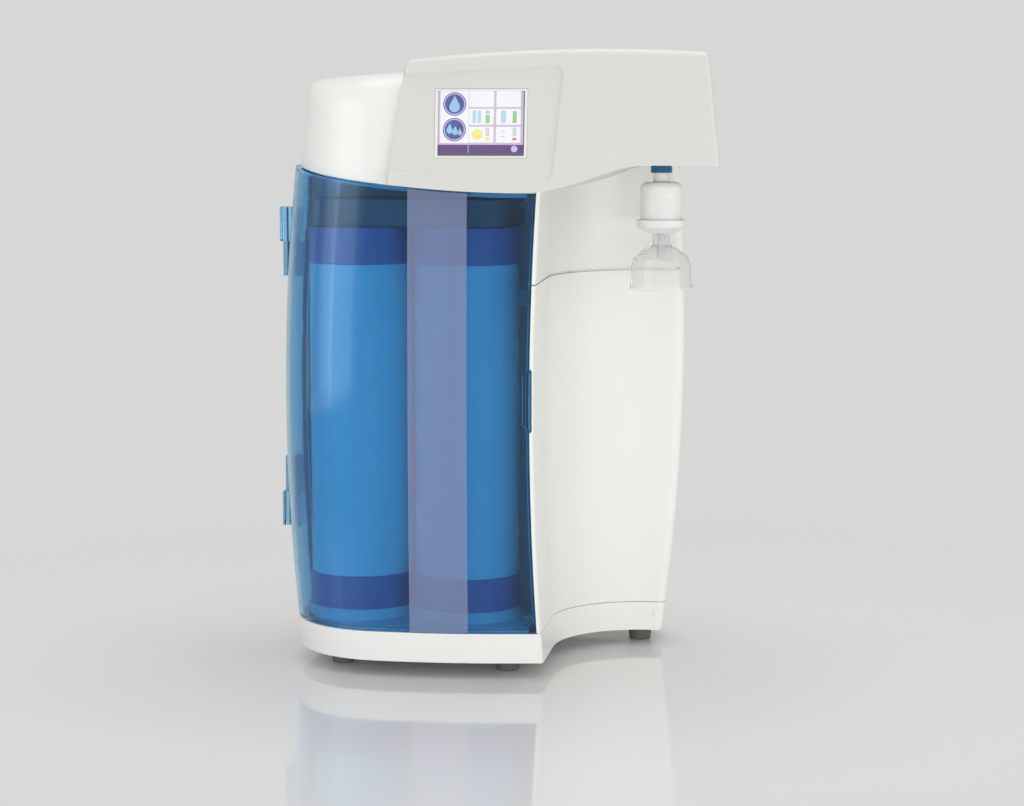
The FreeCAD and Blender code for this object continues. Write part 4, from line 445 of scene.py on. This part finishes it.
# screen: flat shapes drawn in the plane of the display, x to the right and y up from its middle
screen = {
    "tilt": 6.0,              # degrees that the head's face leans back
    "glassBehind": 0.0016,    # thickness of the glass that the frame holds
    "glassThick": 0.0008,
    "barHeight": 0.127,       # shares of the picture's height
    "footHeight": 0.044,
    "iconX": -0.314,          # share of the picture's width
    "iconYs": (0.304, -0.094),
    "iconRadius": 0.134,
    "iconField": (-0.314, 0.108, 0.335, 0.815),     # middle x and y, width, height
    "tileCentre": (0.156, 0.105),
    "tileStep": (0.312, 0.276),
    "tileSize": (0.284, 0.248),
    "tileRound": 0.0008,
    "gaugeStep": 0.072,       # from the middle of a tile to its level gauge
    "gaugeWide": 0.040,
    "gaugeTall": 0.20,
    "lampRadius": 0.062,
    "shadeWide": 0.014,
    "markX": -0.149,
    "markWide": 0.008,
    "markTall": 0.92,         # shares of the bar's height
    "buttonX": 0.384,
    "buttonRadius": 0.40,
    "glassCorner": 0.0009,
    "lift": 0.00005,          # from the back of the glass to the picture's base
    "layer": 0.00006,
}
iconArt = {
    # shares of the icon's radius; a drop is its place, the radius of its bowl and its height
    "ring": 0.93,
    "disc": 0.83,
    "drops": [
        [(0.0, -0.24, 0.46, 1.42)],
        [(-0.40, -0.08, 0.27, 0.891), (0.08, -0.22, 0.24, 0.792), (0.50, -0.30, 0.18, 0.594)],
    ],
}
tileMarks = [
    # name, ink, blocks: column, row, steps across, heights up, widths wide, heights tall, corner in widths
    ("screen_filters", "pale", [(-1, 0, -1.15, 0.0, 1.0, 1.0, 0.25), (-1, 0, -0.35, 0.0, 1.0, 1.0, 0.25),
                                (1, 0, -0.80, 0.0, 1.4, 1.0, 0.5)]),
    ("screen_gauge_green", "green", [(-1, 0, 1.0, -0.16, 1.15, 0.66, 0.0),
                                     (1, 0, 1.0, -0.02, 1.15, 0.94, 0.0)]),
    ("screen_gauge_cap", "grey", [(-1, 0, 1.0, 0.36, 1.15, 0.24, 0.0)]),
    ("screen_gauge_yellow", "yellow", [(-1, -1, 1.0, -0.34, 1.3, 0.26, 0.0)]),
    ("screen_gauge_red", "red", [(1, -1, 1.0, -0.34, 1.15, 0.20, 0.0)]),
    ("screen_ticks", "grey", [(1, -1, -0.8, 0.24, 1.2, 0.05, 0.0), (1, -1, -0.8, -0.16, 1.2, 0.05, 0.0)]),
]
tileSteps = {"rows": 4, "step": 0.17, "width": 1.15, "height": 0.11, "up": 0.22, "corner": 0.0001}
glassLow, glassHigh = [Vector(corner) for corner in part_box("touch_glass")]
lean = math.radians(screen["tilt"])
wide = glassHigh.x - glassLow.x
tall = (glassHigh.z - glassLow.z - screen["glassBehind"] * math.sin(lean)) / math.cos(lean)
rightward = Vector((1, 0, 0))
upward = Vector((0, math.sin(lean), math.cos(lean)))
outward = rightward.cross(upward)
onScreen = Matrix((rightward, upward, outward)).transposed().to_4x4()
onScreen.translation = (glassLow + glassHigh) / 2
picture = screen["lift"] - screen["glassBehind"] / 2      # depth of the picture's base


def addPiece(name, mesh, material, body):
    piece = bpy.data.objects.new(name, mesh)
    bpy.context.scene.collection.objects.link(piece)
    mesh.materials.clear()
    mesh.materials.append(material)
    for polygon in mesh.polygons:
        polygon.use_smooth = False
        polygon.material_index = 0
    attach(piece, body)
    return piece


def flatMesh(name, outlines, low, high):
    build = bmesh.new()
    for outline in outlines:
        floor = [build.verts.new((x, y, low)) for x, y in outline]
        roof = [build.verts.new((x, y, high)) for x, y in outline]
        build.faces.new(list(reversed(floor)))
        build.faces.new(roof)
        for i in range(len(outline)):
            j = (i + 1) % len(outline)
            build.faces.new((floor[i], floor[j], roof[j], roof[i]))
    mesh = bpy.data.meshes.new(name)
    build.to_mesh(mesh)
    build.free()
    mesh.transform(onScreen)
    return mesh


def discOutline(x, y, radius, count=48):
    turns = [2 * math.pi * i / count for i in range(count)]
    return [(x + radius * math.cos(turn), y + radius * math.sin(turn)) for turn in turns]


def dropOutline(x, y, radius, height, count=28):
    # a round bowl whose two sides run straight up to a point
    reach = height - radius
    meet = math.asin(radius / reach)
    start, end = math.pi - meet, 2 * math.pi + meet
    turns = [start + (end - start) * i / count for i in range(count + 1)]
    bowl = [(x + radius * math.cos(turn), y + radius * math.sin(turn)) for turn in turns]
    return bowl + [(x, y + reach)]


def blockOutline(x, y, width, height, corner=0.0, steps=6):
    if corner == 0.0:
        half, rise = width / 2, height / 2
        return [(x - half, y - rise), (x + half, y - rise), (x + half, y + rise), (x - half, y + rise)]
    points = []
    for quarter, (sx, sy) in enumerate(((1, 1), (-1, 1), (-1, -1), (1, -1))):
        cx, cy = x + sx * (width / 2 - corner), y + sy * (height / 2 - corner)
        for i in range(steps + 1):
            turn = math.pi / 2 * (quarter + i / steps)
            points.append((cx + corner * math.cos(turn), cy + corner * math.sin(turn)))
    return points


def repeatTree(name):
    # a rounded plate on every point of a grid, with the sizes as named inputs
    tree = bpy.data.node_groups.new(name, "GeometryNodeTree")
    inputs = [("columns", "NodeSocketInt"), ("rows", "NodeSocketInt"), ("spanX", "NodeSocketFloat"),
              ("spanY", "NodeSocketFloat"), ("plateWidth", "NodeSocketFloat"),
              ("plateHeight", "NodeSocketFloat"), ("corner", "NodeSocketFloat"),
              ("thickness", "NodeSocketFloat"), ("finish", "NodeSocketMaterial")]
    for label, kind in inputs:
        tree.interface.new_socket(label, in_out="INPUT", socket_type=kind)
    tree.interface.new_socket("Geometry", in_out="OUTPUT", socket_type="NodeSocketGeometry")
    given = tree.nodes.new("NodeGroupInput")
    grid = tree.nodes.new("GeometryNodeMeshGrid")
    quad = tree.nodes.new("GeometryNodeCurvePrimitiveQuadrilateral")
    round_ = tree.nodes.new("GeometryNodeFilletCurve")
    round_.mode = "POLY"
    round_.inputs["Count"].default_value = 5
    fill = tree.nodes.new("GeometryNodeFillCurve")
    fill.mode = "NGONS"
    lift = tree.nodes.new("GeometryNodeExtrudeMesh")
    under = tree.nodes.new("GeometryNodeFlipFaces")
    join = tree.nodes.new("GeometryNodeJoinGeometry")
    weld = tree.nodes.new("GeometryNodeMergeByDistance")
    weld.inputs["Distance"].default_value = 0.000005
    place = tree.nodes.new("GeometryNodeInstanceOnPoints")
    realize = tree.nodes.new("GeometryNodeRealizeInstances")
    finish = tree.nodes.new("GeometryNodeSetMaterial")
    result = tree.nodes.new("NodeGroupOutput")
    links = [(given.outputs["columns"], grid.inputs["Vertices X"]),
             (given.outputs["rows"], grid.inputs["Vertices Y"]),
             (given.outputs["spanX"], grid.inputs["Size X"]),
             (given.outputs["spanY"], grid.inputs["Size Y"]),
             (given.outputs["plateWidth"], quad.inputs["Width"]),
             (given.outputs["plateHeight"], quad.inputs["Height"]),
             (quad.outputs["Curve"], round_.inputs["Curve"]),
             (given.outputs["corner"], round_.inputs["Radius"]),
             (round_.outputs["Curve"], fill.inputs["Curve"]),
             (fill.outputs["Mesh"], lift.inputs["Mesh"]),
             (given.outputs["thickness"], lift.inputs["Offset Scale"]),
             (fill.outputs["Mesh"], under.inputs["Mesh"]),
             (lift.outputs["Mesh"], join.inputs["Geometry"]),
             (under.outputs["Mesh"], join.inputs["Geometry"]),
             (join.outputs["Geometry"], weld.inputs["Geometry"]),
             (grid.outputs["Mesh"], place.inputs["Points"]),
             (weld.outputs["Geometry"], place.inputs["Instance"]),
             (place.outputs["Instances"], realize.inputs["Geometry"]),
             (realize.outputs["Geometry"], finish.inputs["Geometry"]),
             (given.outputs["finish"], finish.inputs["Material"]),
             (finish.outputs["Geometry"], result.inputs["Geometry"])]
    for start, end in links:
        tree.links.new(start, end)
    return tree


plateTree = repeatTree("repeatedPlates")


def repeatPlates(name, sizes, material, body, place):
    # sizes: columns, rows, step (x, y), plate (width, height), corner, thickness
    carrier = bpy.data.objects.new(name, bpy.data.meshes.new(name))
    bpy.context.scene.collection.objects.link(carrier)
    modifier = carrier.modifiers.new("repeat", "NODES")
    modifier.node_group = plateTree
    values = {"columns": sizes["columns"], "rows": sizes["rows"],
              "spanX": sizes["step"][0] * (sizes["columns"] - 1),
              "spanY": sizes["step"][1] * (sizes["rows"] - 1),
              "plateWidth": sizes["plate"][0], "plateHeight": sizes["plate"][1],
              "corner": sizes["corner"], "thickness": sizes["thickness"], "finish": material}
    for socket in plateTree.interface.items_tree:
        if socket.name in values:
            modifier[socket.identifier] = values[socket.name]
    bpy.context.view_layer.update()
    evaluated = carrier.evaluated_get(bpy.context.evaluated_depsgraph_get())
    mesh = bpy.data.meshes.new_from_object(evaluated)
    bpy.data.objects.remove(carrier)
    clean = bmesh.new()
    clean.from_mesh(mesh)
    bmesh.ops.recalc_face_normals(clean, faces=clean.faces)
    clean.to_mesh(mesh)
    clean.free()
    mesh.transform(place)
    return addPiece(name, mesh, material, body)


inks = {
    "paper": litInk("screenPaper", (0.58, 0.50, 0.66), 0.12),
    "tile": litInk("screenTile", (0.86, 0.86, 0.90)),
    "deep": litInk("screenDeep", (0.04, 0.06, 0.31), 0.08),
    "lilac": litInk("screenLilac", (0.52, 0.47, 0.76)),
    "water": litInk("screenWater", (0.27, 0.55, 0.78), 0.12),
    "purple": litInk("screenPurple", (0.095, 0.018, 0.20), 0.06),
    "shade": litInk("screenShade", (0.09, 0.08, 0.085), 0.0),
    "green": litInk("screenGreen", (0.30, 0.56, 0.20)),
    "yellow": litInk("screenYellow", (0.88, 0.76, 0.20)),
    "red": litInk("screenRed", (0.62, 0.20, 0.26)),
    "grey": litInk("screenGrey", (0.50, 0.53, 0.60)),
    "pale": litInk("screenPale", (0.42, 0.66, 0.80), 0.12),
}


def layer(level):
    return picture + level * screen["layer"], picture + (level + 1) * screen["layer"]


def drawShapes(name, ink, level, outlines):
    piece = addPiece(name, flatMesh(name, outlines, *layer(level)), inks[ink], "housing")


def drawIcons():
    radius = screen["iconRadius"] * wide
    x = screen["iconX"] * wide
    ys = [y * tall for y in screen["iconYs"]]
    fieldX, fieldY, fieldWide, fieldTall = screen["iconField"]
    field = blockOutline(fieldX * wide, fieldY * tall, fieldWide * wide, fieldTall * tall,
                         screen["tileRound"])
    drawShapes("screen_icon_field", "tile", 1, [field])
    drawShapes("screen_icon_rims", "deep", 2, [discOutline(x, y, radius) for y in ys])
    drawShapes("screen_icon_rings", "lilac", 3, [discOutline(x, y, radius * iconArt["ring"]) for y in ys])
    drawShapes("screen_icon_discs", "deep", 4, [discOutline(x, y, radius * iconArt["disc"]) for y in ys])
    drops = [dropOutline(x + across * radius, y + up * radius, bowl * radius, high * radius)
             for y, icon in zip(ys, iconArt["drops"]) for across, up, bowl, high in icon]
    drawShapes("screen_icon_drops", "water", 5, drops)


def tilePlace(column, row, across, up):
    x = screen["tileCentre"][0] + column * screen["tileStep"][0] / 2 + across * screen["gaugeStep"]
    y = screen["tileCentre"][1] + row * screen["tileStep"][1] + up * screen["gaugeTall"]
    return x * wide, y * tall


def drawTiles():
    midX, midY = screen["tileCentre"][0] * wide, screen["tileCentre"][1] * tall
    sizes = {"columns": 2, "rows": 3, "step": (screen["tileStep"][0] * wide, screen["tileStep"][1] * tall),
             "plate": (screen["tileSize"][0] * wide, screen["tileSize"][1] * tall),
             "corner": screen["tileRound"], "thickness": screen["layer"]}
    place = onScreen @ Matrix.Translation((midX, midY, layer(1)[0]))
    repeatPlates("screen_tiles", sizes, inks["tile"], "housing", place)
    width, height = screen["gaugeWide"] * wide, screen["gaugeTall"] * tall
    for name, ink, blocks in tileMarks:
        outlines = [blockOutline(*tilePlace(column, row, across, up), width * broad, height * high,
                                 width * corner)
                    for column, row, across, up, broad, high, corner in blocks]
        drawShapes(name, ink, 2, outlines)
    lamp = discOutline(*tilePlace(-1, -1, -0.65, 0.0), screen["lampRadius"] * wide)
    drawShapes("screen_lamp_icon", "yellow", 2, [lamp])
    sizes = {"columns": 1, "rows": tileSteps["rows"], "step": (0.0, height * tileSteps["step"]),
             "plate": (width * tileSteps["width"], height * tileSteps["height"]),
             "corner": tileSteps["corner"], "thickness": screen["layer"]}
    for side, column in (("left", -1), ("right", 1)):
        x, y = tilePlace(column, -1, 1.0, tileSteps["up"])
        place = onScreen @ Matrix.Translation((x, y, layer(2)[0]))
        steps = repeatPlates("screen_steps_" + side, sizes, inks["grey"], "housing", place)


def drawFrame():
    footRise = screen["footHeight"] * tall
    barRise = screen["barHeight"] * tall
    base = -tall / 2
    middle = base + footRise + barRise / 2
    drawShapes("screen_paper", "paper", 0, [blockOutline(0, 0, wide, tall)])
    drawShapes("screen_bar", "purple", 1, [blockOutline(0, middle, wide, barRise)])
    side = screen["shadeWide"] * wide
    drawShapes("screen_shade", "shade", 1,
               [blockOutline(0, base + footRise / 2, wide, footRise),
                blockOutline((wide - side) / 2, footRise / 2, side, tall - footRise)])
    drawShapes("screen_mark", "lilac", 2,
               [blockOutline(screen["markX"] * wide, middle, screen["markWide"] * wide,
                             screen["markTall"] * barRise),
                discOutline(screen["buttonX"] * wide, middle, screen["buttonRadius"] * barRise)])


def makeTouchGlass():
    half = screen["glassBehind"] / 2
    mesh = flatMesh("touch_glass_pane", [blockOutline(0, 0, wide, tall, screen["glassCorner"])],
                    half - screen["glassThick"], half)
    pane = addPiece("touch_glass_pane", mesh, materials["touchClear"], "housing")
    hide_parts("touch_glass")


drawFrame()
drawIcons()
drawTiles()
makeTouchGlass()
print("screen drawn")


# painted shade: thin black plates laid on the heads of the rear screws stand in for the shade inside their
# sockets
socketShadePlates = {"headRadius": 0.0034, "plate": (0.0030, 0.0030), "corner": 0.0008, "thickness": 0.00012}


def makeSocketShadePlates(values):
    low, high = [Vector(corner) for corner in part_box("cover_screws")]
    inset = values["headRadius"]
    sizes = {"columns": 2, "rows": 3, "step": (high.x - low.x - 2 * inset, (high.z - low.z) / 2 - inset),
             "plate": values["plate"], "corner": values["corner"], "thickness": values["thickness"]}
    # the plates' own z turns to the rear
    turn = Matrix(((-1, 0, 0), (0, 0, 1), (0, 1, 0))).to_4x4()
    turn.translation = ((low.x + high.x) / 2, high.y, (low.z + high.z) / 2)
    # black plastic plates painted as the shaded sockets, not a real part
    piece = repeatPlates("screw_socket_shade", sizes, materials["blackPlastic"], "housing", turn)


makeSocketShadePlates(socketShadePlates)
print("screw sockets made")
